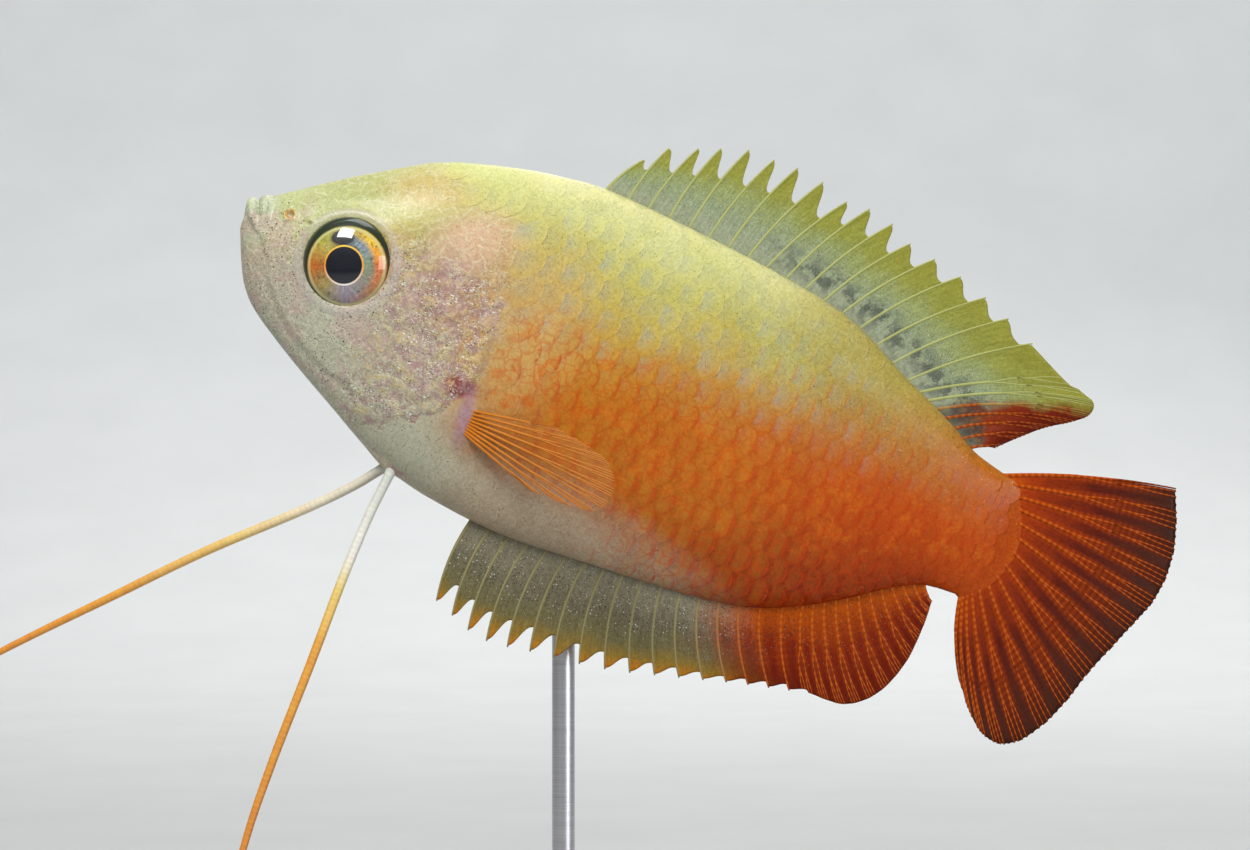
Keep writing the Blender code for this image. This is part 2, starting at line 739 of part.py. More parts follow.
def make_pectorals(parts, materials):
    """Make the pectoral fins, which stand off the flanks."""
    for side, word in ((-1, "left"), (1, "right")):
        rays = []
        for index in range(PECTORAL_RAYS):
            t = index / (PECTORAL_RAYS - 1)
            root = follow(PECTORAL_ROOT, t)
            rays.append(Ray(root, follow(PECTORAL_TIPS, t), 0.0))

        def standing(spot, _, side=side):
            root_u = PECTORAL_ROOT[0][0]
            flank = body_side(root_u, spot[1]) + CLEARANCE + MEMBRANE + RIDGE
            return side * (flank + PECTORAL_SPREAD * (spot[0] - root_u))

        columns = fin_columns(rays, 1, SMOOTH_MARGIN, rows=4, lag=SMOOTH_LAG, hollow=0.0)
        make_fin(f"pectoral_fin_{word}", columns, standing, parts, materials["fin"])


def make_threads(parts, materials):
    """Make the pelvic threads, each in lengths that follow one another."""
    for word, line in (("left", LEFT_THREAD), ("right", RIGHT_THREAD)):
        for number in range(THREAD_LENGTHS):
            points = []
            radii = []
            for index in range(THREAD_POINTS):
                t = (number + index / (THREAD_POINTS - 1)) / THREAD_LENGTHS
                points.append(place(*follow(line, t)))
                radii.append(THREAD_RADIUS_ROOT + (THREAD_RADIUS_TIP - THREAD_RADIUS_ROOT) * t ** 3)
            if number > 0:
                points[0] = points[0] + (points[1] - points[0]).normalized() * GAP
            piece = make_tube(f"pelvic_thread_{word}_{number + 1}", points, radii, parts)
            piece.data.materials.append(materials["thread"])
            shade_round(piece)


def make_stand(parts, cutters, materials):
    """Make the base plate and the rod that holds the fish."""
    shape = bmesh.new()
    size = Matrix.Diagonal((BASE_LENGTH, BASE_WIDTH, BASE_HEIGHT, 1.0))
    centre = Matrix.Translation((0.0, 0.0, BASE_HEIGHT / 2))
    bmesh.ops.create_cube(shape, size=1.0, matrix=centre @ size)
    upright = [edge for edge in shape.edges if abs(edge.verts[0].co.z - edge.verts[1].co.z) > BASE_BEVEL]
    bmesh.ops.bevel(shape, geom=upright, offset=BASE_CORNER, segments=6, profile=0.5, affect="EDGES")
    mesh = bpy.data.meshes.new("stand_base")
    shape.to_mesh(mesh)
    shape.free()
    base = add_object("stand_base", mesh, parts, materials["stand"])
    rounding = base.modifiers.new("Rounding", "BEVEL")
    rounding.width = BASE_BEVEL
    rounding.segments = 2
    rounding.limit_method = "ANGLE"
    socket_floor = BASE_HEIGHT - ROD_SOCKET_DEPTH
    hole = make_rod("rod_socket", ROD_RADIUS + GAP, socket_floor, BASE_HEIGHT + GAP, cutters)
    drilling = base.modifiers.new("Socket", "BOOLEAN")
    drilling.object = as_cutter(hole)
    rod = make_rod("stand_rod", ROD_RADIUS, socket_floor + GAP, SNOUT_Z, parts)
    rod.data.materials.append(materials["rod"])
    room = as_cutter(add_object("rod_room", body_mesh(CLEARANCE), cutters))
    combine(rod, room, "DIFFERENCE")
    keep_lowest(rod)
    shade_round(rod)


def keep_lowest(made):
    """Keep only the surface of an object that starts lowest."""
    shape = bmesh.new()
    shape.from_mesh(made.data)
    islands = sorted(find_islands(shape), key=lambda island: min(p.co.z for p in island))
    for island in islands[1:]:
        bmesh.ops.delete(shape, geom=island, context="VERTS")
    shape.to_mesh(made.data)
    shape.free()


def make_rod(name, radius, bottom, top, collection):
    """Upright round bar on the rod's axis, between two heights."""
    shape = bmesh.new()
    bmesh.ops.create_cone(
        shape, cap_ends=True, segments=24, radius1=radius, radius2=radius, depth=top - bottom,
        matrix=Matrix.Translation((ROD_X, ROD_Y, (top + bottom) / 2)),
    )
    mesh = bpy.data.meshes.new(name)
    shape.to_mesh(mesh)
    shape.free()
    return add_object(name, mesh, collection)


def main():
    """Build the fish and its stand."""
    clear_scene()
    parts = make_collection("honey_gourami")
    cutters = make_collection("cutters")
    materials = {name: make_material(name) for name in COLOURS if name != "rod"}
    materials["rod"] = make_material("rod", roughness=0.3, metallic=1.0)
    make_body(parts, cutters, materials)
    make_eyes(parts, materials)
    make_dorsal(parts, materials)
    make_anal(parts, materials)
    make_tail(parts, materials)
    make_pectorals(parts, materials)
    make_threads(parts, materials)
    make_stand(parts, cutters, materials)


main()
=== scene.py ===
"""Looks of the honey gourami: skin, scales, fins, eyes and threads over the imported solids.

The fish is drawn in its own straight frame, in hundredths of its standard length: u runs back
from the snout, w towards its right side and v up. FishFrame.place turns that into metres.
"""

import logging
import math
from dataclasses import dataclass, field
from enum import Enum
from typing import Callable, Sequence

import bmesh
import bpy
import numpy as np
from mathutils import Matrix, Vector


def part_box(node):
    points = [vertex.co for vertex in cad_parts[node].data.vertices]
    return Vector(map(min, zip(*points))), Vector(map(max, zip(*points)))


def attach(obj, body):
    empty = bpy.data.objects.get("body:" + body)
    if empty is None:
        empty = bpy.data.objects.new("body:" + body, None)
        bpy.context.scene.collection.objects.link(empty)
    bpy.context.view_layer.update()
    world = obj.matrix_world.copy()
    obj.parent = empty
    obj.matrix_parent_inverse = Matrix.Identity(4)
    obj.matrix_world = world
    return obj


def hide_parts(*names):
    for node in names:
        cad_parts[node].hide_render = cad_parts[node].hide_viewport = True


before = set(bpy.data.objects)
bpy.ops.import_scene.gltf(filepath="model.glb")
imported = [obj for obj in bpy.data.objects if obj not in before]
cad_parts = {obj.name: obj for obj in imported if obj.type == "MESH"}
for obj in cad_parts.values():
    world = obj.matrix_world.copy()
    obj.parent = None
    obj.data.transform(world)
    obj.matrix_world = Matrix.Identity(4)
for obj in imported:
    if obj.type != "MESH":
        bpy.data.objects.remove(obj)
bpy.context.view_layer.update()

LOG = logging.getLogger("honey_gourami")
Pair = tuple[float, float]
Triple = tuple[float, float, float]
Colour = Triple
Line = tuple[Pair, ...]
Stops = tuple[tuple[float, Colour], ...]
Node = bpy.types.Node
Tree = bpy.types.NodeTree
Socket = bpy.types.NodeSocket
Paint = Socket | Colour
Material = bpy.types.Material
Piece = bpy.types.Object

EYE_CENTRE: Pair = (14.6, 1.2)
WHITE: Colour = (1.0, 1.0, 1.0)
WARM_WHITE: Colour = (1.0, 0.98, 0.95)
COOL_WHITE: Colour = (0.96, 0.98, 1.0)


class Side(Enum):
    """Side of the fish, as the sign of w."""

    LEFT = -1
    RIGHT = 1

    @property
    def word(self) -> str:
        """Lower-case name of the side."""
        return self.name.lower()


def smooth(low: float, high: float, value: np.ndarray) -> np.ndarray:
    """Smooth step of the value from 0 at low to 1 at high."""
    t = np.clip((value - low) / (high - low), 0.0, 1.0)
    return t * t * (3.0 - 2.0 * t)


def ease(line: Line, at: np.ndarray) -> np.ndarray:
    """Read a line of (place, value) points with cubic pieces that don't overshoot.

    Args:
        line: the points, in order of their places.
        at: the places to read.

    Returns:
        The value at each place.
    """
    places = np.array([point[0] for point in line])
    values = np.array([point[1] for point in line])
    widths = np.diff(places)
    steps = np.diff(values) / widths
    slopes = np.concatenate(((steps[0],), np.zeros(len(line) - 2), (steps[-1],)))
    turning = steps[:-1] * steps[1:]
    both = steps[:-1] + steps[1:]
    slopes[1:-1] = np.where(turning > 0.0, 2.0 * turning / np.where(both == 0.0, 1.0, both), 0.0)
    held = np.clip(at, places[0], places[-1])
    cell = np.clip(np.searchsorted(places, held) - 1, 0, len(line) - 2)
    t = (held - places[cell]) / widths[cell]
    left = 1.0 - t
    start = left * left * ((1.0 + 2.0 * t) * values[cell] + t * widths[cell] * slopes[cell])
    end = t * t * ((3.0 - 2.0 * t) * values[cell + 1] - left * widths[cell] * slopes[cell + 1])
    return start + end


def follow(points: Sequence[Sequence[float]], at: np.ndarray) -> np.ndarray:
    """Points at shares of a smooth curve that runs through the given points.

    Args:
        points: the points, evenly spread along the curve.
        at: shares of the way, from 0 to 1.

    Returns:
        One row for each share.
    """
    path = np.array(points, float)
    count = len(path) - 1
    padded = np.vstack((2.0 * path[0] - path[1], path, 2.0 * path[-1] - path[-2]))
    share = np.atleast_1d(at) * count
    cell = np.clip(np.floor(share).astype(int), 0, count - 1)
    t = (share - cell)[:, None]
    before, start, end, after = (padded[cell + shift] for shift in range(4))
    linear = (end - before) * t
    square = (2.0 * before - 5.0 * start + 4.0 * end - after) * t ** 2
    cube = (3.0 * start - 3.0 * end + after - before) * t ** 3
    return 0.5 * (2.0 * start + linear + square + cube)


@dataclass(frozen=True)
class FishFrame:
    """The fish's own frame and its place over the stand."""

    length: float = 0.045
    pitch: float = math.radians(22.77)
    snout_x: float = -0.02166
    snout_z: float = 0.05058
    swing_start: float = 45.0
    swing_reach: float = 3.4

    @property
    def unit(self) -> float:
        """Metres in one hundredth of the standard length."""
        return self.length / 100.0

    def swing(self, u: np.ndarray) -> np.ndarray:
        """Sideways place of the fish's middle plane at u."""
        past = np.maximum(0.0, (u - self.swing_start) / (100.0 - self.swing_start))
        return self.swing_reach * past * past

    def place(self, spots: np.ndarray) -> np.ndarray:
        """Turn spots of the fish's frame into points.

        Args:
            spots: the spots (u, w, v).

        Returns:
            The points in metres.
        """
        u, w, v = np.moveaxis(np.asarray(spots, float), -1, 0)
        along = u * math.cos(self.pitch) + v * math.sin(self.pitch)
        up = v * math.cos(self.pitch) - u * math.sin(self.pitch)
        x = self.snout_x + self.unit * along
        return np.stack((x, self.unit * (w + self.swing(u)), self.snout_z + self.unit * up), -1)


FISH = FishFrame()


@dataclass(frozen=True)
class BodyShape:
    """Outline of the body in side view and from above, as the solids have it."""

    top: Line = (
        (0.1, 3.5), (1.6, 5.0), (3.1, 6.1), (5.0, 7.5), (10.2, 11.3), (15.5, 14.8), (19.8, 17.4),
        (25.0, 19.3), (33.0, 21.4), (41.0, 22.4), (53.0, 21.9), (67.0, 20.7), (74.0, 19.5),
        (84.5, 15.1), (91.8, 12.1), (96.2, 9.9), (100.5, 8.9),
    )
    bottom: Line = (
        (0.1, -0.3), (1.6, -3.6), (3.1, -6.3), (5.0, -8.4), (9.5, -11.3), (19.0, -16.3),
        (26.7, -20.0), (34.3, -22.1), (44.8, -22.9), (55.4, -22.1), (71.0, -20.6), (77.2, -19.3),
        (83.0, -16.7), (88.3, -13.4), (93.5, -9.7), (97.0, -8.1), (100.5, -7.8),
    )
    width: Line = (
        (0.1, 1.5), (3.1, 3.2), (7.5, 5.0), (14.6, 6.7), (25.0, 8.2), (33.0, 8.5), (41.0, 8.2),
        (53.0, 7.1), (67.0, 5.4), (80.0, 3.8), (91.8, 2.7), (100.5, 1.8),
    )
    start: float = 0.1
    end: float = 100.5
    front: Pair = (-0.3, 1.6)

    def section(self, u: np.ndarray) -> tuple[np.ndarray, np.ndarray, np.ndarray]:
        """Section of the body at u.

        Args:
            u: places along the body.

        Returns:
            Middle height, half height and half width there.
        """
        top = ease(self.top, u)
        bottom = ease(self.bottom, u)
        return 0.5 * (top + bottom), 0.5 * (top - bottom), ease(self.width, u)

    def point(self, u: np.ndarray, angle: np.ndarray, grow: float = 0.0) -> np.ndarray:
        """Find spots on the body.

        Args:
            u: places along it.
            angle: angles round it, 0 at its right flank and a quarter turn on top.
            grow: distance out from it.

        Returns:
            The spots.
        """
        middle, height, width = self.section(u)
        across = (width + grow) * np.cos(angle)
        return np.stack((u, across, middle + (height + grow) * np.sin(angle)), -1)

    def flank(self, u: float, v: float) -> float:
        """Measure the body's half width.

        Args:
            u: place along it.
            v: height.

        Returns:
            The half width there.
        """
        middle, height, width = (float(value) for value in self.section(np.array(u)))
        share = min(1.0, abs(v - middle) / height)
        return width * math.sqrt(1.0 - share * share)


BODY = BodyShape()


def add_object(name: str, data: bpy.types.ID) -> Piece:
    """Add an object to the scene, at the origin.

    Args:
        name: name of the object.
        data: its mesh, light or camera.

    Returns:
        The object.
    """
    made = bpy.data.objects.new(name, data)
    bpy.context.scene.collection.objects.link(made)
    return made


def make_object(name: str, points: np.ndarray, faces: Sequence[Sequence[int]]) -> Piece:
    """Make a smooth mesh object at the origin from points in metres.

    Args:
        name: name of the object and its mesh.
        points: one row for each vertex.
        faces: vertex numbers of each face.

    Returns:
        The object, linked to the scene.
    """
    mesh = bpy.data.meshes.new(name)
    mesh.from_pydata(points.tolist(), [], faces)
    mesh.shade_smooth()
    return add_object(name, mesh)


def store(made: Piece, name: str, values: np.ndarray) -> None:
    """Store a number or a vector for each vertex.

    Args:
        made: the object.
        name: name of the attribute.
        values: one number or one row of three for each vertex.
    """
    kind, label = ("FLOAT_VECTOR", "vector") if values.ndim == 2 else ("FLOAT", "value")
    attribute = made.data.attributes.new(name, kind, "POINT")
    attribute.data.foreach_set(label, np.ascontiguousarray(values, np.float32).ravel())


def loft(rings: np.ndarray, *ends: Sequence[float]) -> tuple[np.ndarray, list[list[int]]]:
    """Close rings into one shell, with a fan to a point at each end.

    Args:
        rings: the points of each ring.
        *ends: the first and the last point.

    Returns:
        The vertices, and the faces.
    """
    rows, sides = rings.shape[:2]
    side = np.arange(sides)
    after = (side + 1) % sides
    faces = []
    for row in range(rows - 1):
        first = row * sides
        second = first + sides
        faces += np.stack((first + side, second + side, second + after, first + after), -1).tolist()
    last, count = (rows - 1) * sides, rows * sides
    faces += np.stack((side, after, np.full(sides, count)), -1).tolist()
    faces += np.stack((last + after, last + side, np.full(sides, count + 1)), -1).tolist()
    return np.vstack((rings.reshape(-1, 3), *ends)), faces


def angles_round(sides: int) -> np.ndarray:
    """Angles of the points of a ring."""
    return 2.0 * math.pi * np.arange(sides) / sides


def grid_faces(index: np.ndarray) -> np.ndarray:
    """Faces of a grid of vertex numbers."""
    return np.stack((index[:-1, :-1], index[:-1, 1:], index[1:, 1:], index[1:, :-1]), -1).reshape(-1, 4)


def grid_rim(index: np.ndarray) -> np.ndarray:
    """Vertex numbers round the edge of a grid, each once."""
    return np.concatenate((index[0], index[1:, -1], index[-1, -2::-1], index[-2:0:-1, 0]))


def lengths_along(line: np.ndarray) -> np.ndarray:
    """Length of a line up to each of its spots."""
    return np.concatenate(((0.0,), np.cumsum(np.linalg.norm(np.diff(line, axis=0), axis=1))))


def sweep(line: np.ndarray, radii: np.ndarray, sides: int) -> tuple[np.ndarray, np.ndarray]:
    """Rings round a line.

    Args:
        line: spots along the line.
        radii: radius of the ring at each spot.
        sides: number of points in a ring.

    Returns:
        The rings, and the line's direction at each spot.
    """
    ahead = np.gradient(line, axis=0)
    ahead /= np.linalg.norm(ahead, axis=1, keepdims=True)
    first = np.cross(ahead, (0.0, 1.0, 0.0))
    first /= np.linalg.norm(first, axis=1, keepdims=True)
    second = np.cross(ahead, first)
    turn = angles_round(sides)
    ring = first[:, None] * np.cos(turn)[None, :, None] + second[:, None] * np.sin(turn)[None, :, None]
    return line[:, None] + ring * radii[:, None, None], ahead


def face_out(made: Piece) -> None:
    """Turn the faces of each closed shell outwards.

    Args:
        made: the object.
    """
    shape = bmesh.new()
    shape.from_mesh(made.data)
    bmesh.ops.recalc_face_normals(shape, faces=shape.faces)
    shape.to_mesh(made.data)
    shape.free()


def finish_piece(piece: Piece, nodes: Sequence[str]) -> Piece:
    """Tie a piece to the body and the solids it stands for.

    Args:
        piece: the piece.
        nodes: the solids it replaces.

    Returns:
        The same piece.
    """
    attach(piece, "root")
    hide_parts(*nodes)
    LOG.info("%s: %d faces", piece.name, len(piece.data.polygons))
    return piece


class Value:
    """A number in a node tree. Arithmetic on it adds math nodes."""

    def __init__(self, graph: "Graph", socket: Socket) -> None:
        """Hold the socket that carries the number."""
        self.graph = graph
        self.socket = socket

    def __add__(self, other: "Value | float") -> "Value":
        """Sum."""
        return self.graph.math("ADD", self, other)

    def __sub__(self, other: "Value | float") -> "Value":
        """Difference."""
        return self.graph.math("SUBTRACT", self, other)

    def __rsub__(self, other: float) -> "Value":
        """Difference from a plain number."""
        return self.graph.math("SUBTRACT", other, self)

    def __mul__(self, other: "Value | float") -> "Value":
        """Product."""
        return self.graph.math("MULTIPLY", self, other)

    def __truediv__(self, other: "Value | float") -> "Value":
        """Quotient."""
        return self.graph.math("DIVIDE", self, other)

    def __pow__(self, other: float) -> "Value":
        """Power."""
        return self.graph.math("POWER", self, other)

    def __abs__(self) -> "Value":
        """Size without the sign."""
        return self.graph.math("ABSOLUTE", self)

    __radd__ = __add__
    __rmul__ = __mul__


class Graph:
    """Adds and wires the nodes of one node tree."""

    def __init__(self, tree: Tree) -> None:
        """Start on an empty tree."""
        self.tree = tree
        tree.nodes.clear()

    def add(self, kind: str, inputs: dict | None = None, **settings: str | Tree) -> Node:
        """Add a node.

        Args:
            kind: Blender's name of the node.
            inputs: values or sockets for its inputs, by name or number.
            **settings: properties of the node.

        Returns:
            The node.
        """
        node = self.tree.nodes.new(kind)
        for name, value in settings.items():
            setattr(node, name, value)
        for name, value in (inputs or {}).items():
            self.feed(node.inputs[name], value)
        return node

    def feed(self, socket: Socket, value: "Value | Socket | float | tuple") -> None:
        """Link something to an input, or set the input to a plain value.

        Args:
            socket: the input.
            value: a number of the tree, an output, or a plain value.
        """
        if isinstance(value, Value):
            value = value.socket
        if isinstance(value, Socket):
            self.tree.links.new(value, socket)
        elif socket.type == "RGBA":
            socket.default_value = (*value, 1.0)
        else:
            socket.default_value = value

    def math(self, operation: str, *values: Value | float) -> Value:
        """Work out a number from one to three others."""
        node = self.add("ShaderNodeMath", dict(enumerate(values)), operation=operation)
        return Value(self, node.outputs[0])

    def clamp(self, value: Value) -> Value:
        """Hold the number that a math node works out between 0 and 1."""
        value.socket.node.use_clamp = True
        return value

    def largest(self, first: Value, second: Value) -> Value:
        """Larger of two numbers."""
        return self.math("MAXIMUM", first, second)

    def vector(self, operation: str, *values: Socket | Triple) -> Socket:
        """Work out a vector from others."""
        return self.add("ShaderNodeVectorMath", dict(enumerate(values)), operation=operation).outputs[0]

    def join(self, x: Value | float, y: Value | float, z: Value | float = 0.0) -> Socket:
        """Vector of three numbers."""
        return self.add("ShaderNodeCombineXYZ", {0: x, 1: y, 2: z}).outputs[0]

    def split(self, vector: Socket) -> tuple[Value, ...]:
        """The three parts of a vector."""
        return tuple(Value(self, part) for part in self.add("ShaderNodeSeparateXYZ", {0: vector}).outputs)

    def step(self, value: Value, low: float, high: float) -> Value:
        """Smooth step of a number from 0 at low to 1 at high."""
        inputs = {"Value": value, "From Min": low, "From Max": high}
        return Value(self, self.add("ShaderNodeMapRange", inputs, interpolation_type="SMOOTHSTEP").outputs[0])

    def band(self, value: Value, low: float, high: float, edge: float) -> Value:
        """Mask that is 1 between low and high and fades over the edge on both sides."""
        rise = self.step(value, low - edge, low + edge)
        return self.clamp(rise - self.step(value, high - edge, high + edge))

    def mix(self, factor: Value | float, first: Paint, second: Paint, mode: str = "MIX") -> Socket:
        """Mix two colours.

        Args:
            factor: share of the second colour.
            first: the colour below.
            second: the colour above.
            mode: Blender's name of the way they mix.

        Returns:
            The mixed colour.
        """
        node = self.add("ShaderNodeMix", data_type="RGBA", blend_type=mode)
        for place, value in ((0, factor), (6, first), (7, second)):
            self.feed(node.inputs[place], value)
        return node.outputs[2]

    def ramp(self, value: Value, stops: Stops) -> Socket:
        """Colour of a number between stops.

        Args:
            value: the number.
            stops: (place, colour) pairs, in order of their places.

        Returns:
            The colour.
        """
        node = self.add("ShaderNodeValToRGB", {0: value})
        elements = node.color_ramp.elements
        while len(elements) < len(stops):
            elements.new(1.0)
        for element, (place, colour) in zip(elements, stops):
            element.position = place
            element.color = (*colour, 1.0)
        return node.outputs[0]

    def grey(self, value: Value, low: Pair, high: Pair) -> Socket:
        """Grey of a number between a low and a high (place, lightness) pair."""
        return self.ramp(value, tuple((place, (light, light, light)) for place, light in (low, high)))

    def noise(self, vector: Socket, scale: float, detail: float = 2.0, rough: float = 0.5) -> Value:
        """Noise from 0 to 1 at a place."""
        inputs = {"Vector": vector, "Scale": scale, "Detail": detail, "Roughness": rough}
        return Value(self, self.add("ShaderNodeTexNoise", inputs).outputs[0])

    def warp(self, vector: Socket, scale: float, amount: float) -> Socket:
        """Shift a place by noise, so that a pattern on it loses its even spacing.

        Args:
            vector: the place.
            scale: the noise's scale.
            amount: the farthest shift, doubled.

        Returns:
            The shifted place.
        """
        inputs = {"Vector": vector, "Scale": scale, "Detail": 1.0}
        noise = self.add("ShaderNodeTexNoise", inputs).outputs["Color"]
        centred = self.vector("SUBTRACT", noise, (0.5, 0.5, 0.5))
        return self.vector("MULTIPLY_ADD", centred, (amount, amount, amount), vector)

    def net(self, vector: Socket, scale: float, width: float) -> Value:
        """Draw the thin lines between random cells.

        Args:
            vector: the place.
            scale: cells in one unit of the place.
            width: half width of the lines.

        Returns:
            The lines' mask.
        """
        inputs = {"Vector": vector, "Scale": scale}
        edge = self.add("ShaderNodeTexVoronoi", inputs, feature="DISTANCE_TO_EDGE").outputs["Distance"]
        return self.step(edge, width, 0.0)

    def stretched(self, vector: Socket, scale: Triple, turn: float = 0.0) -> Socket:
        """Place turned about Y and scaled."""
        inputs = {"Vector": vector, "Rotation": (0.0, turn, 0.0), "Scale": scale}
        return self.add("ShaderNodeMapping", inputs).outputs[0]

    def attribute(self, name: str) -> Socket:
        """Vector stored on the mesh."""
        return self.add("ShaderNodeAttribute", attribute_name=name).outputs["Vector"]

    def number(self, name: str) -> Value:
        """Number stored on the mesh."""
        return Value(self, self.add("ShaderNodeAttribute", attribute_name=name).outputs["Fac"])

    def body_place(self) -> Socket:
        """Place on the object, in metres."""
        return self.add("ShaderNodeTexCoord").outputs["Object"]

    def group(self, name: str, **inputs: Value | Socket | float) -> Node:
        """Place a node group, with its inputs by name in small letters."""
        named = {label.title(): value for label, value in inputs.items()}
        return self.add("ShaderNodeGroup", named, node_tree=bpy.data.node_groups[name])

    def specks(self, vector: Socket, scale: float, size: float, share: float) -> tuple[Value, Value]:
        """Place the group of specks.

        Args:
            vector: the place.
            scale: cells of the pattern in one unit of the place.
            size: size of the specks in a cell.
            share: share of the cells that hold one.

        Returns:
            The specks' mask, and a number that differs from speck to speck.
        """
        outputs = self.group("Specks", vector=vector, scale=scale, size=size, share=share).outputs
        return Value(self, outputs["Mask"]), Value(self, outputs["Tint"])

    def bump(self, height: Value, strength: float, distance: float) -> Socket:
        """Normal of a height given in shares of a distance in metres."""
        inputs = {"Height": height, "Strength": strength, "Distance": distance}
        return self.add("ShaderNodeBump", inputs).outputs[0]

    def surface(self, **inputs: Value | Paint | float) -> None:
        """Finish a material with a Principled shader, its inputs by name in small letters."""
        labels = {name: name.replace("_", " ").title().replace("Ior", "IOR") for name in inputs}
        shader = self.add("ShaderNodeBsdfPrincipled", {labels[name]: value for name, value in inputs.items()})
        self.add("ShaderNodeOutputMaterial", {"Surface": shader.outputs[0]})


def new_group(name: str, inputs: dict[str, str], outputs: dict[str, str]) -> tuple[Graph, dict[str, Value]]:
    """Start a shader node group.

    Args:
        name: name of the group.
        inputs: kind of each input by its name, such as "Float".
        outputs: kind of each output by its name.

    Returns:
        Its graph, and its inputs by name.
    """
    tree = bpy.data.node_groups.new(name, "ShaderNodeTree")
    graph = Graph(tree)
    for way, sockets in (("INPUT", inputs), ("OUTPUT", outputs)):
        for label, kind in sockets.items():
            tree.interface.new_socket(label, in_out=way, socket_type=f"NodeSocket{kind}")
    given = graph.add("NodeGroupInput").outputs
    return graph, {label: Value(graph, given[label]) for label in inputs}


def new_material(name: str) -> tuple[Material, Graph]:
    """Start a material.

    Args:
        name: its name.

    Returns:
        The material, and the graph of its nodes.
    """
    made = bpy.data.materials.new(name)
    made.use_nodes = True
    return made, Graph(made.node_tree)


def make_specks() -> None:
    """Make the group of small round specks: their mask, and a number that differs from speck to speck."""
    inputs = {"Vector": "Vector", "Scale": "Float", "Size": "Float", "Share": "Float"}
    graph, given = new_group("Specks", inputs, {"Mask": "Float", "Tint": "Float"})
    place = graph.warp(given["Vector"], 5.0, 0.22)
    cells = graph.add("ShaderNodeTexVoronoi", {"Vector": place, "Scale": given["Scale"]}).outputs
    parts = graph.add("ShaderNodeSeparateColor", {0: cells["Color"]}).outputs
    red, green, blue = (Value(graph, part) for part in parts)
    disc = graph.clamp((given["Size"] * (green + 0.5) - Value(graph, cells["Distance"])) * 12.0)
    kept = graph.math("LESS_THAN", red, given["Share"])
    graph.add("NodeGroupOutput", {"Mask": disc * kept, "Tint": blue})


@dataclass(frozen=True)
class Patch:
    """A soft oval of colour on the body, in the fish's frame."""

    name: str
    colour: Colour
    centre: Pair
    reach: Pair
    turn: float = 0.0
    strength: float = 1.0
    edge: float = 0.5


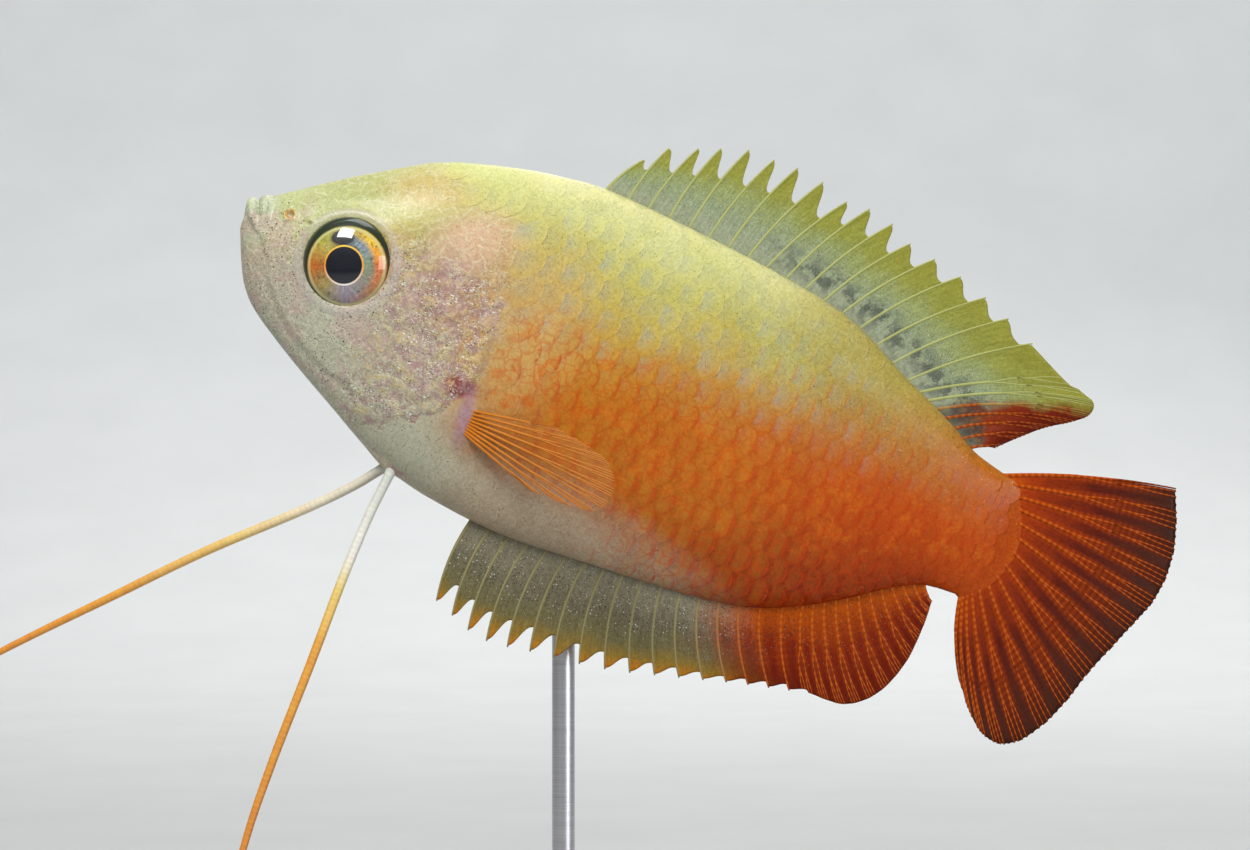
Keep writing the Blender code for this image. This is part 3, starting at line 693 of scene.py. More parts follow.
@dataclass(frozen=True)
class Markings:
    """Colours of the body from back to belly, and the patches over them."""

    bands: Stops = (
        (0.00, (0.30, 0.09, 0.006)), (0.16, (0.36, 0.10, 0.006)), (0.28, (0.41, 0.125, 0.007)),
        (0.44, (0.46, 0.155, 0.010)), (0.56, (0.48, 0.24, 0.03)), (0.66, (0.50, 0.36, 0.07)),
        (0.80, (0.50, 0.46, 0.12)), (0.92, (0.56, 0.56, 0.22)), (1.00, (0.64, 0.62, 0.28)),
    )
    patches: tuple[Patch, ...] = (
        Patch("rear back", (0.36, 0.28, 0.05), (90.0, 13.0), (23.0, 9.0), -0.15, 0.9, 0.5),
        Patch("stalk ridge", (0.42, 0.13, 0.001), (98.5, 6.5), (10.0, 4.5), -0.35, 0.85, 0.7),
        Patch("rear glow", (0.46, 0.060, 0.001), (91.0, -3.0), (26.0, 10.0), 0.0, 1.0, 0.9),
        Patch("rear belly", (0.26, 0.018, 0.001), (91.0, -16.0), (29.0, 9.0), 0.2, 0.95, 0.8),
        Patch("belly", (0.45, 0.36, 0.25), (41.0, -27.0), (33.0, 12.5), 0.0, 1.0, 0.30),
        Patch("throat", (0.46, 0.46, 0.34), (18.0, -12.0), (19.0, 12.5), -0.5, 1.0, 0.4),
        Patch("cheek", (0.44, 0.365, 0.255), (27.0, -1.0), (7.5, 11.0), 0.0, 0.9, 0.5),
        Patch("flushed cheek", (0.42, 0.20, 0.15), (29.0, 2.4), (5.0, 4.6), 0.3, 0.75, 0.7),
        Patch("rosy plate", (0.66, 0.42, 0.27), (28.5, 9.6), (5.0, 3.6), 0.5, 0.85, 0.6),
        Patch("gill strip", (0.52, 0.22, 0.075), (32.9, -0.5), (1.5, 8.0), 0.0, 0.75, 0.7),
        Patch("nape", (0.52, 0.55, 0.19), (16.0, 16.0), (19.0, 6.5), 0.6, 0.85, 0.6),
        Patch("brow", (0.41, 0.43, 0.15), (12.5, 9.5), (6.5, 3.6), 0.5, 0.75, 0.7),
        Patch("blush", (0.60, 0.42, 0.15), (20.5, 13.4), (5.0, 2.6), 0.3, 0.7, 0.7),
        Patch("snout", (0.48, 0.52, 0.22), (6.5, 4.6), (6.0, 4.2), 0.6, 0.9, 0.6),
        Patch("chin", (0.42, 0.365, 0.285), (5.0, -4.5), (6.0, 6.0), -0.6, 0.7, 0.6),
        Patch("lips", (0.46, 0.52, 0.36), (1.4, 2.2), (2.6, 4.2), 0.0, 0.85, 0.4),
        Patch("tail root", (0.48, 0.064, 0.001), (105.5, -3.0), (6.5, 13.0), 0.0, 0.9, 0.6),
        Patch("shoulder", (0.54, 0.36, 0.13), (37.5, 1.5), (6.5, 10.0), 0.0, 0.8, 0.7),
        Patch("red gill spot", (0.27, 0.035, 0.05), (33.4, -7.6), (2.0, 1.3), 0.2, 0.95, 0.4),
        Patch("violet fold", (0.36, 0.22, 0.30), (35.4, -11.0), (0.9, 3.2), 0.1, 0.7, 0.6),
        Patch("front nostril", (0.62, 0.30, 0.03), (5.5, 3.9), (0.75, 0.75), 0.0, 0.9, 0.3),
        Patch("nostril centre", (0.66, 0.62, 0.40), (5.5, 3.9), (0.35, 0.35), 0.0, 0.9, 0.3),
    )

    def build(self) -> None:
        """Make the group that colours a place of the fish's frame at a height from belly to back."""
        graph, given = new_group("Markings", {"Spot": "Vector", "Height": "Float"}, {"Colour": "Color"})
        spot = given["Spot"]
        u, _, v = graph.split(spot)
        wander = graph.noise(spot, 0.09, 3.0, 0.6)
        height = given["Height"] + (wander - 0.5) * 0.16
        colour = graph.ramp(height, self.bands)
        for patch in self.patches:
            cosine, sine = math.cos(patch.turn), math.sin(patch.turn)
            across, up = u - patch.centre[0], v - patch.centre[1]
            along = (across * cosine + up * sine) / patch.reach[0]
            aside = (up * cosine - across * sine) / patch.reach[1]
            distance = (along ** 2.0 + aside ** 2.0) ** 0.5
            inside = graph.step(distance + (wander - 0.5) * 0.5, 1.0 + patch.edge, 1.0 - patch.edge)
            colour = graph.mix(inside * patch.strength, colour, patch.colour)
            colour.node.label = patch.name
        graph.add("NodeGroupOutput", {"Colour": colour})


@dataclass(frozen=True)
class SkinFinish:
    """Wet skin with pigment cells, painted glints on its glittering flecks, and the body's markings."""

    roughness: float = 0.42
    dark: Colour = (0.03, 0.025, 0.02)
    # Silver, gold and green are the painted glints of the head's flecks; gold also tints the cheek.
    silver: Colour = (0.86, 0.90, 0.82)
    # Colour of the painted glints, also used for the pale lines between the head's plates.
    gleam: Colour = (0.86, 0.86, 0.56)
    rose: Colour = (0.52, 0.36, 0.32)
    violet: Colour = (0.40, 0.23, 0.23)
    gold: Colour = (0.66, 0.48, 0.20)
    green: Colour = (0.42, 0.60, 0.42)
    orbit: Colour = (0.50, 0.46, 0.42)
    pale: Colour = (0.62, 0.60, 0.48)
    shade: Colour = (0.20, 0.17, 0.12)
    cool: Colour = (0.34, 0.38, 0.25)
    warm: Colour = (0.56, 0.115, 0.004)

    def dressed(self, graph: Graph) -> tuple[Socket, Value, Socket, Value]:
        """Lay the markings, clouds, pigment cells and painted glints that skin and scales share.

        Args:
            graph: the material's nodes.

        Returns:
            Colour, grain, place in the fish's frame and height on the body.
        """
        spot = graph.attribute("fish")
        height = graph.number("height")
        colour = graph.group("Markings", spot=spot, height=height).outputs[0]
        u = graph.split(spot)[0]
        grain = graph.noise(spot, 2.4, 4.0, 0.7)
        clouds = graph.noise(spot, 0.45, 4.0, 0.62)
        # Cool clouds on the upper flank and warm ones on the lower flank.
        behind = graph.step(u, 30.0, 40.0)
        upper = graph.step(height, 0.55, 0.72) * (behind * graph.step(u, 84.0, 70.0))
        colour = graph.mix(graph.step(clouds, 0.47, 0.6) * (upper * 0.2), colour, self.cool)
        lower = graph.band(height, 0.22, 0.58, 0.12) * behind
        colour = graph.mix(graph.step(clouds, 0.5, 0.62) * (lower * 0.6), colour, self.warm)
        colour = graph.mix(0.42, colour, graph.grey(grain, (0.34, 0.20), (0.66, 0.80)), "SOFT_LIGHT")
        # Dark pigment cells on back and belly, and painted glints: small bright specks, most on the upper
        # body.
        pepper, _ = graph.specks(spot, 4.6, 0.23, 0.72)
        belly = graph.step(height, 0.34, 0.12) * (graph.step(clouds, 0.46, 0.56) * 1.6 + 0.2)
        back = graph.step(height, 0.50, 0.80)
        dusted = belly * 0.5 + (back * 0.5 + 0.15)
        colour = graph.mix(graph.clamp(pepper * dusted), colour, self.dark)
        painted_glints, _ = graph.specks(spot, 3.6, 0.21, 0.40)
        shining = graph.step(height, 0.45, 0.85) * graph.step(clouds, 0.4, 0.58)
        colour = graph.mix(painted_glints * (shining * 0.36 + 0.04), colour, self.gleam)
        return colour, grain, spot, height

    def build(self) -> Material:
        """Make the bare skin's material.

        Returns:
            The material.
        """
        made, graph = new_material("skin")
        colour, _, spot, _ = self.dressed(graph)
        u, _, v = graph.split(spot)
        # Masks of the head, of its lower and upper part and of the cheek.
        head = graph.step(u, 37.0, 33.0)
        lower = head * graph.step(v, 9.0, 3.0)
        upper = graph.clamp(head - lower)
        cheek = lower * graph.step(u, 17.0, 23.0)
        # Clouds and blotches.
        blotches = graph.noise(spot, 0.75, 6.0, 0.72)
        fine = graph.noise(spot, 2.6, 5.0, 0.75)
        tone = graph.noise(spot, 0.24, 3.0, 0.6)
        colour = graph.mix(graph.step(tone, 0.5, 0.6) * (lower * 0.55), colour, self.rose)
        colour = graph.mix(graph.step(blotches, 0.5, 0.56) * (cheek * 0.72), colour, self.violet)
        colour = graph.mix(graph.step(blotches, 0.46, 0.4) * (cheek * 0.6), colour, self.gold)
        colour = graph.mix(graph.step(fine, 0.54, 0.62) * (lower * 0.45 + head * 0.15), colour, self.pale)
        colour = graph.mix(graph.step(fine, 0.45, 0.36) * (lower * 0.42 + head * 0.12), colour, self.shade)
        # Thin lines between the small plates of the head.
        lines = graph.net(graph.warp(spot, 0.5, 1.6), 0.52, 0.15) * graph.step(fine, 0.4, 0.56)
        lines = lines * (upper * 0.75 + lower * 0.35)
        colour = graph.mix(lines * 0.45, colour, self.gleam)
        # Dark pigment cells, and glittering flecks of two sizes in clumps, their glints painted in silver,
        # gold and green.
        clumps = graph.noise(spot, 0.36, 4.0, 0.62)
        scattered = graph.step(clumps, 0.47, 0.56) * 0.88 + 0.08
        dots, _ = graph.specks(spot, 3.3, 0.26, 0.80)
        colour = graph.mix(dots * scattered * (upper * 0.18 + lower), colour, self.dark)
        slanted = graph.stretched(spot, (1.0, 1.0, 2.0), 0.7)
        flecks, tint = graph.specks(slanted, 1.7, 0.27, 0.70)
        sparks, _ = graph.specks(slanted, 3.4, 0.30, 0.75)
        lit = (cheek * 0.5 + lower * 0.42 + upper * 0.2) * graph.step(clumps, 0.42, 0.54)
        glitter = graph.clamp(graph.largest(flecks, sparks) * lit)
        silver = self.silver
        metals = ((0.0, silver), (0.40, silver), (0.55, self.gold), (0.78, self.green), (1.0, silver))
        # The flecks' glints, painted into the colour.
        colour = graph.mix(glitter * 0.95, colour, graph.ramp(tint, metals))
        # Ring round the eye.
        from_eye = ((u - EYE_CENTRE[0]) ** 2.0 + (v - EYE_CENTRE[1]) ** 2.0) ** 0.5
        ring = graph.band(from_eye, 5.75, 6.75, 0.25)
        colour = graph.mix(ring * 0.4, colour, self.orbit)
        rough = graph.clamp(fine * -0.5 + (self.roughness + 0.2) - glitter * 0.2)
        relief = fine * 0.9 + blotches * (cheek * 1.4 + 0.4) + glitter * 0.3 - lines * 0.6
        normal = graph.bump(relief, 0.55, 0.0002)
        graph.surface(base_color=colour, roughness=rough, normal=normal, specular_ior_level=0.15,
                      subsurface_weight=0.05, subsurface_radius=(0.001, 0.0005, 0.0003),
                      coat_weight=head * 0.3, coat_roughness=0.24)
        return made


@dataclass
class Skin:
    """One skin over head, gill covers, trunk and tail stalk, with the forms of the head."""

    sides: int = 320
    head_rings: int = 150
    trunk_rings: int = 64
    head_end: float = 40.0
    tail_rings: int = 10
    tail_reach: float = 5.4
    depth: float = 0.20
    lower_lip: tuple[Triple, ...] = (
        (2.5, -2.7, 0.7), (0.8, -1.7, 2.5), (0.3, 0.0, 3.4), (0.8, 1.7, 2.5), (2.5, 2.7, 0.7),
    )
    upper_lip: tuple[Triple, ...] = (
        (3.3, -3.0, 0.2), (2.2, -1.9, 3.4), (1.8, 0.0, 4.3), (2.2, 1.9, 3.4), (3.3, 3.0, 0.2),
    )
    lip_radius: float = 0.84
    lip_zone: float = 7.0
    lip_outside: float = 1.6
    lip_walks: int = 24
    gape_radius: float = 0.26
    gape_shift: Triple = (-0.25, 0.0, 0.30)
    gill_edge: Line = (
        (27.5, 17.5), (29.0, 15.5), (30.9, 12.0), (33.3, 4.8), (34.9, -1.5), (34.6, -6.5),
        (32.0, -11.0), (27.0, -14.6), (22.6, -17.0), (19.5, -19.0),
    )
    cheek_edge: Line = ((29.6, 12.2), (24.6, 9.0), (22.4, 3.0), (22.8, -4.0), (24.6, -9.5), (27.0, -12.6))
    jaw_crease: Line = ((4.0, -1.2), (6.0, -5.0), (10.0, -9.0), (16.0, -12.2), (22.0, -13.6))
    nostrils: tuple[Triple, ...] = ((5.5, 3.9, 0.62), (8.3, 3.8, 0.42))

    def build(self, material: Material) -> Piece:
        """Make the skin.

        Args:
            material: the skin's material.

        Returns:
            The finished piece.
        """
        u, angle = self.stations()
        spots = BODY.point(u, angle, -self.depth)
        out = self.outward(spots)
        rise = self.relief(spots.reshape(-1, 3), out.reshape(-1, 3))
        moved = spots + out * rise.reshape(*u.shape, 1)
        wedge = self.tail_root(moved[-1])
        front = (BODY.front[0] + self.depth, 0.0, BODY.front[1])
        back = (wedge[-1, :, 0].max() + 0.1, 0.0, wedge[-1, :, 2].mean())
        every, faces = loft(np.vstack((moved, wedge)), front, back)
        made = make_object("skin", FISH.place(every), faces)
        made.data.materials.append(material)
        store(made, "fish", every)
        store(made, "height", body_height(every))
        nodes = ("head", "gill_cover_left", "gill_cover_right", "trunk", "tail_stalk")
        return finish_piece(made, nodes)

    def tail_root(self, last: np.ndarray) -> np.ndarray:
        """Close the stalk down to the thickness of the tail fin.

        Args:
            last: spots of the stalk's last ring.

        Returns:
            The rings that follow it.
        """
        share = np.linspace(0.0, 1.0, self.tail_rings + 1)[1:, None]
        middle = last[:, 2].mean()
        u = last[:, 0] + self.tail_reach * share * self.bowed(last[:, 2] - middle)
        up = middle + (last[:, 2] - middle) * (1.0 + 0.05 * share) - 0.4 * share
        return np.stack((u, last[:, 1] * self.taper(share), up), -1)

    @staticmethod
    def bowed(rise: np.ndarray) -> np.ndarray:
        """Reach of the tail's root at a height from its middle, as a share of the reach there."""
        return 1.0 - 0.75 * np.clip(rise / 8.4, -1.0, 1.0) ** 2

    @staticmethod
    def taper(share: np.ndarray) -> np.ndarray:
        """Width of the tail's root at a share of its reach, as a share of the stalk's width."""
        return 0.04 + 0.96 * np.clip(1.0 - share, 0.0, 1.0) ** 1.15

    def stations(self) -> tuple[np.ndarray, np.ndarray]:
        """Lay out the skin's rings.

        Returns:
            Places along the body, and angles round it that are evenly spread over each section.
        """
        head = BODY.start + (self.head_end - BODY.start) * np.linspace(0.0, 1.0, self.head_rings) ** 1.35
        trunk = np.linspace(self.head_end, BODY.end, self.trunk_rings + 1)[1:]
        u = np.concatenate((head, trunk))
        fine = np.linspace(0.0, 2.0 * math.pi, 721)
        rows = []
        for station in u:
            length = lengths_along(BODY.point(np.full(len(fine), station), fine, -self.depth)[:, 1:])
            rows.append(np.interp(np.linspace(0.0, length[-1], self.sides, endpoint=False), length, fine))
        return np.repeat(u[:, None], self.sides, 1), np.array(rows)

    def outward(self, spots: np.ndarray) -> np.ndarray:
        """Work out outward normals.

        Args:
            spots: rings of spots on the body.

        Returns:
            The normal at each spot.
        """
        around = np.roll(spots, -1, 1) - np.roll(spots, 1, 1)
        along = np.gradient(spots, axis=0)
        normal = np.cross(around, along)
        normal /= np.linalg.norm(normal, axis=-1, keepdims=True)
        middle = BODY.section(spots[..., 0])[0]
        centre = np.stack((spots[..., 0], np.zeros_like(middle), middle), -1)
        inside = np.sum(normal * (spots - centre), -1, keepdims=True) < 0.0
        return np.where(inside, -normal, normal)

    def relief(self, spots: np.ndarray, out: np.ndarray) -> np.ndarray:
        """Find how far each spot moves outwards, by walking in from outside to the first form met.

        Args:
            spots: spots on the plain body.
            out: their outward normals.

        Returns:
            The distance for each spot.
        """
        height = self.folds(spots)
        share = np.linspace(0.0, 1.0, 41)
        lips = [follow(line, share) for line in (self.lower_lip, self.upper_lip)]
        radii = self.lip_radius * (0.3 + 0.7 * np.sin(math.pi * share) ** 0.6)
        gape = 0.5 * (lips[0] + lips[1]) + self.gape_shift
        near = spots[:, 0] < self.lip_zone
        travel = np.where(near, self.lip_outside, height)
        for _ in range(self.lip_walks):
            at = spots[near] + out[near] * travel[near][:, None]
            field = travel[near] - height[near]
            for line in lips:
                field = self.blend(field, self.tube(at, line, radii), 0.5)
            field = np.maximum(field, -self.tube(at, gape, np.full(len(gape), self.gape_radius)))
            travel[near] -= 0.8 * field
        return travel

    @staticmethod
    def tube(at: np.ndarray, line: np.ndarray, radii: np.ndarray) -> np.ndarray:
        """Distance from points to a bent roll round a line."""
        gaps = np.linalg.norm(at[:, None, :] - line[None], axis=2) - radii[None]
        return gaps.min(axis=1)

    @staticmethod
    def blend(first: np.ndarray, second: np.ndarray, reach: float) -> np.ndarray:
        """Smaller of two distances, rounded where they are close."""
        gap = np.maximum(reach - np.abs(first - second), 0.0) / reach
        return np.minimum(first, second) - gap * gap * reach * 0.25

    def folds(self, spots: np.ndarray) -> np.ndarray:
        """Work out the folds and plates of the head: gill cover, cheek, jaw, eye rim, nostrils, fin root.

        Args:
            spots: spots on the plain body.

        Returns:
            Their heights over it.
        """
        u, w, v = spots.T
        height = np.zeros(len(spots))
        # Gill cover, a plate up to its rear edge.
        edge = self.beside(u, v, self.gill_edge)
        inside = smooth(0.35, -0.25, edge)
        shown = smooth(14.0, 8.0, v) * smooth(0.5, 2.0, np.abs(w))
        height += (0.14 + 0.18 * smooth(-13.0, -6.0, v)) * inside * smooth(-9.0, -0.5, edge) * shown
        # Crease behind the cheek, and the jaw's crease with a fold beside it.
        cheek = self.beside(u, v, self.cheek_edge)
        height -= 0.14 * np.exp(-(cheek / 0.6) ** 2) * smooth(11.0, 5.0, v)
        jaw = self.beside(u, v, self.jaw_crease)
        height += 0.10 * np.exp(-((jaw - 0.9) / 0.7) ** 2) - 0.12 * np.exp(-(jaw / 0.5) ** 2)
        # Eye socket with its rim, and the nostrils, each a pit in a ring.
        from_eye = np.hypot(u - EYE_CENTRE[0], v - EYE_CENTRE[1])
        height += 0.13 * np.exp(-((from_eye - 6.2) / 0.6) ** 2)
        height -= 0.8 * smooth(5.6, 4.8, from_eye)
        for place_u, place_v, radius in self.nostrils:
            away = np.hypot(u - place_u, v - place_v) / radius
            height += 0.34 * radius * np.exp(-((away - 1.15) / 0.35) ** 2)
            height -= 0.9 * radius * smooth(0.95, 0.3, away)
        # Wrinkles of the cheek.
        cheeks = smooth(17.0, 22.0, u) * smooth(36.0, 33.0, u)
        cheeks *= smooth(9.0, 4.0, v) * smooth(-15.0, -11.0, v)
        ripples = np.sin(1.7 * u + 0.8 * v + 1.3 * np.sin(0.9 * v))
        ripples += np.sin(2.3 * v - 0.9 * u + 1.7 * np.sin(0.7 * u))
        height += 0.05 * cheeks * ripples
        # Bump where the pelvic fins stand.
        bump = np.hypot((u - 28.6) / 2.4, (v + 19.6) / 1.6)
        height += 0.45 * np.exp(-bump ** 2) * smooth(2.6, 1.2, np.abs(w))
        return height

    @staticmethod
    def beside(u: np.ndarray, v: np.ndarray, line: Line) -> np.ndarray:
        """Measure the distance from a line in side view.

        Args:
            u: places back from the snout.
            v: heights.
            line: the line's points.

        Returns:
            The distance, positive on the line's rear or lower side.
        """
        path = follow(line, np.linspace(0.0, 1.0, 120))
        gaps = np.hypot(u[:, None] - path[None, :, 0], v[:, None] - path[None, :, 1])
        nearest = np.clip(gaps.argmin(axis=1), 1, len(path) - 2)
        ahead = path[nearest + 1] - path[nearest - 1]
        across = (u - path[nearest, 0]) * ahead[:, 1] - (v - path[nearest, 1]) * ahead[:, 0]
        return gaps.min(axis=1) * -np.sign(across)


def body_height(spots: np.ndarray) -> np.ndarray:
    """Height of spots on the body, from 0 at the belly's line to 1 at the back's."""
    middle, height, _ = BODY.section(spots[:, 0])
    return np.clip(0.5 + 0.5 * (spots[:, 2] - middle) / height, 0.0, 1.0)


@dataclass
class ScaleCoat:
    """Overlapping scales on one flank, laid out flat and wrapped over the body."""

    side: Side
    lift: float = 0.10
    thickness: float = 0.04
    pitches: Line = ((20.0, 2.1), (36.0, 2.5), (60.0, 2.65), (76.0, 2.4), (88.0, 2.1), (101.0, 1.5))
    row_height: float = 3.55
    last_row: int = 8
    first_scale: float = 20.0
    last_scale: float = 103.0
    walk_step: float = 0.25
    overlap: Pair = (1.95, 1.62)
    uneven: float = 0.03
    seed: int = 5
    reach: float = 34.0
    span: float = 110.0
    sheet_ends: Pair = (16.0, 112.0)
    sheet_depth: float = 0.22
    spare: float = 2.2
    bake_patch: float = 0.003

    @property
    def inputs(self) -> dict[str, float]:
        """Sizes that the geometry nodes are given, by the names of their inputs."""
        return {"Lift": self.lift, "Thickness": self.thickness, "Span": self.span, "Reach": self.reach}

    @property
    def spread(self) -> float:
        """Height of the flat layout."""
        return self.spare * self.reach

    @staticmethod
    def arc(u: np.ndarray, girth: int = 181) -> tuple[np.ndarray, np.ndarray]:
        """Measure the sections of the body.

        Args:
            u: places along the body.
            girth: number of angles round a section.

        Returns:
            The angles, and for each section how far along it they are from the flank's middle.
        """
        angles = np.linspace(0.0, math.pi, girth)
        stations, turned = np.meshgrid(np.atleast_1d(u), angles, indexing="ij")
        spots = BODY.point(stations, turned)
        steps = np.linalg.norm(np.diff(spots[..., 1:], axis=1), axis=2)
        return angles, np.concatenate((np.zeros((len(steps), 1)), np.cumsum(steps, axis=1)), axis=1)

    def sheet(self) -> Piece:
        """Make a grid on the flank, past its middle lines, whose map is the flat layout.

        Returns:
            The grid, with the vector a scale's thickness follows at each vertex.
        """
        stations = np.linspace(*self.sheet_ends, 132)
        offsets = np.linspace(-self.reach, self.reach, 121)
        angles, lengths = self.arc(np.clip(stations, BODY.start, BODY.end))
        turned = np.array([np.interp(np.abs(offsets), row, angles) * np.sign(offsets) for row in lengths])
        u = np.repeat(stations[:, None], len(offsets), 1)
        held = np.clip(u, BODY.start, BODY.end)
        inner = BODY.point(held, turned, -self.sheet_depth)
        push = BODY.point(held, turned, 1.0 - self.sheet_depth) - inner
        rise = inner[..., 2] - inner[..., 2].mean(axis=1, keepdims=True)
        past = np.maximum(u - BODY.end, 0.0)
        inner[..., 0] = u
        inner[..., 1] *= Skin.taper(past / (Skin.tail_reach * Skin.bowed(rise)))
        outer = inner + push
        for spots in (inner, outer):
            spots[..., 1] *= self.side.value
        base = FISH.place(inner).reshape(-1, 3)
        faces = grid_faces(np.arange(u.size).reshape(u.shape).T)
        made = make_object(f"wrap_{self.side.word}", base, faces.tolist())
        store(made, "out", FISH.place(outer).reshape(-1, 3) - base)
        flat = np.stack((u, np.repeat(offsets[None], len(stations), 0)), -1).reshape(-1, 2)
        layout = made.data.uv_layers.new(name="Flat")
        layout.data.foreach_set("uv", self.to_map(flat)[faces.ravel()].astype(np.float32).ravel())
        return made

    def to_map(self, flat: np.ndarray) -> np.ndarray:
        """Turn flat places into shares of the layout."""
        return np.stack((flat[..., 0] / self.span, 0.5 + flat[..., 1] / self.spread), -1)

    def shape(self) -> Piece:
        """Make one scale, 1 long and 1 wide, with its root at the origin and its free edge at +X.

        Returns:
            The closed plate.
        """
        columns, rows = 4, 9
        points = []
        for row in range(rows):
            across = -1.0 + 2.0 * row / (rows - 1)
            rear = 1.0 - abs(across) ** 2.2 * 0.42
            for column in range(columns):
                t = column / (columns - 1)
                narrow = 1.0 - 0.30 * (1.0 - t) ** 2
                points.append((t * rear, 0.5 * across * narrow, 0.0))
        top = len(points)
        index = np.arange(top).reshape(rows, columns)
        rim = grid_rim(index).tolist()
        points += [(points[place][0], points[place][1], -1.0) for place in rim]
        points.append((0.5, 0.0, -1.0))
        faces = grid_faces(index).tolist()
        count = len(rim)
        for place in range(count):
            after = (place + 1) % count
            faces.append((rim[after], rim[place], top + place, top + after))
            faces.append((top + after, top + place, top + count))
        made = make_object(f"scale_{self.side.word}", np.array(points), faces)
        store(made, "local", np.array(points))
        return made

    def seeds(self) -> Piece:
        """Set one point for each scale, with its length, width and tint.

        Returns:
            The points, on the flat layout.
        """
        draw = np.random.default_rng(self.seed)
        walk = np.arange(self.first_scale, self.pitches[-1][0], self.walk_step)
        phase = np.concatenate(((0.0,), np.cumsum(self.walk_step / ease(self.pitches, walk))))
        walk = np.append(walk, walk[-1] + self.walk_step)
        edge = follow(Skin.gill_edge, np.linspace(0.0, 1.0, 200))
        spots, sizes = [], []
        for row in range(-self.last_row, self.last_row + 1):
            for count in range(int(phase[-1]) + 1):
                u = float(np.interp(count + 0.5 * (row % 2), phase, walk, right=np.inf))
                if u > self.last_scale:
                    break
                middle, height, _ = (float(value) for value in BODY.section(np.array(u)))
                pitch = float(ease(self.pitches, np.array(u)))
                tall = self.row_height * math.sqrt(min(1.0, height / 22.0))
                offset = row * tall
                angles, lengths = self.arc(np.array(u))
                if abs(offset) + 0.30 * tall > lengths[0][len(angles) // 2]:
                    continue
                turned = float(np.interp(abs(offset), lengths[0], angles))
                v = middle + height * math.sin(turned) * (1 if row > 0 else -1)
                front = float(np.interp(-v, -edge[:, 1], edge[:, 0]))
                if u < front - 0.6 and v < 15.5:
                    continue
                spots.append((u, offset, 0.0))
                length = self.overlap[0] * pitch * draw.uniform(1.0 - self.uneven, 1.0 + self.uneven)
                sizes.append((length, self.overlap[1] * tall, draw.uniform(0.0, 1.0)))
        made = make_object(f"seeds_{self.side.word}", np.array(spots), [])
        store(made, "size", np.array(sizes))
        store(made, "root", np.array(spots))
        return made

    def tree(self, sheet: Piece, shape: Piece, material: Material) -> Tree:
        """Build the geometry nodes that set a scale on every seed and wrap them over the body.

        Args:
            sheet: the grid on the flank.
            shape: one scale.
            material: the scales' material.

        Returns:
            The node tree.
        """
        tree = bpy.data.node_groups.new(f"Scale coat {self.side.word}", "GeometryNodeTree")
        face = tree.interface
        face.new_socket("Geometry", in_out="INPUT", socket_type="NodeSocketGeometry")
        for label in self.inputs:
            face.new_socket(label, in_out="INPUT", socket_type="NodeSocketFloat")
        face.new_socket("Geometry", in_out="OUTPUT", socket_type="NodeSocketGeometry")
        graph = Graph(tree)
        given = graph.add("NodeGroupInput").outputs
        lift, thickness, span, reach = (Value(graph, given[label]) for label in self.inputs)
        size, layout, out, local = (
            graph.add("GeometryNodeInputNamedAttribute", {"Name": name}, data_type="FLOAT_VECTOR").outputs[0]
            for name in ("size", "Flat", "out", "local")
        )
        model, wrap = (
            graph.add("GeometryNodeObjectInfo", {"Object": source}).outputs["Geometry"]
            for source in (shape, sheet)
        )
        long, wide, _ = graph.split(size)
        dots = graph.add("GeometryNodeMeshToPoints", {"Mesh": given["Geometry"]}).outputs[0]
        inputs = {"Points": dots, "Instance": model, "Scale": graph.join(long, wide, 1.0)}
        laid = graph.add("GeometryNodeInstanceOnPoints", inputs).outputs[0]
        real = graph.add("GeometryNodeRealizeInstances", {0: laid}).outputs[0]
        position = graph.add("GeometryNodeInputPosition").outputs[0]
        along, aside, _ = graph.split(position)
        place = graph.join(along / span, aside / (reach * self.spare) + 0.5)
        found = []
        for value in (position, out):
            node = graph.add("GeometryNodeSampleUVSurface", {"Mesh": wrap}, data_type="FLOAT_VECTOR")
            for label, source in (("Value", value), ("Source UV Map", layout), ("Sample UV", place)):
                graph.feed(node.inputs[label], source)
            found.append(node.outputs[0])
        share, _, layer = graph.split(local)
        level = layer * thickness + lift * share ** 0.85
        pushed = graph.add("ShaderNodeVectorMath", {0: found[1], "Scale": level}, operation="SCALE")
        summed = graph.vector("ADD", found[0], pushed.outputs[0])
        moved = graph.add("GeometryNodeSetPosition", {"Geometry": real, "Position": summed}).outputs[0]
        dressed = graph.add("GeometryNodeSetMaterial", {"Geometry": moved, "Material": material}).outputs[0]
        graph.add("NodeGroupOutput", {0: dressed})
        return tree

    def build(self, material: Material) -> Piece:
        """Make the coat of one flank.

        Args:
            material: the scales' material.

        Returns:
            The finished piece.
        """
        sheet, shape, seeds = self.sheet(), self.shape(), self.seeds()
        step = seeds.modifiers.new("Coat", "NODES")
        step.node_group = self.tree(sheet, shape, material)
        for item in step.node_group.interface.items_tree:
            if item.in_out == "INPUT" and item.name in self.inputs:
                step[item.identifier] = self.inputs[item.name]
        bpy.context.view_layer.update()
        mesh = bpy.data.meshes.new_from_object(seeds.evaluated_get(bpy.context.evaluated_depsgraph_get()))
        seeds.modifiers.remove(step)
        for spare in (sheet, shape, seeds):
            bpy.data.objects.remove(spare, do_unlink=True)
        mesh.name = f"scales_{self.side.word}"
        made = add_object(mesh.name, mesh)
        mesh.shade_smooth()
        mesh.set_sharp_from_angle(angle=math.radians(50.0))
        self.map_for_bake(made)
        return finish_piece(made, ("trunk", "tail_stalk"))

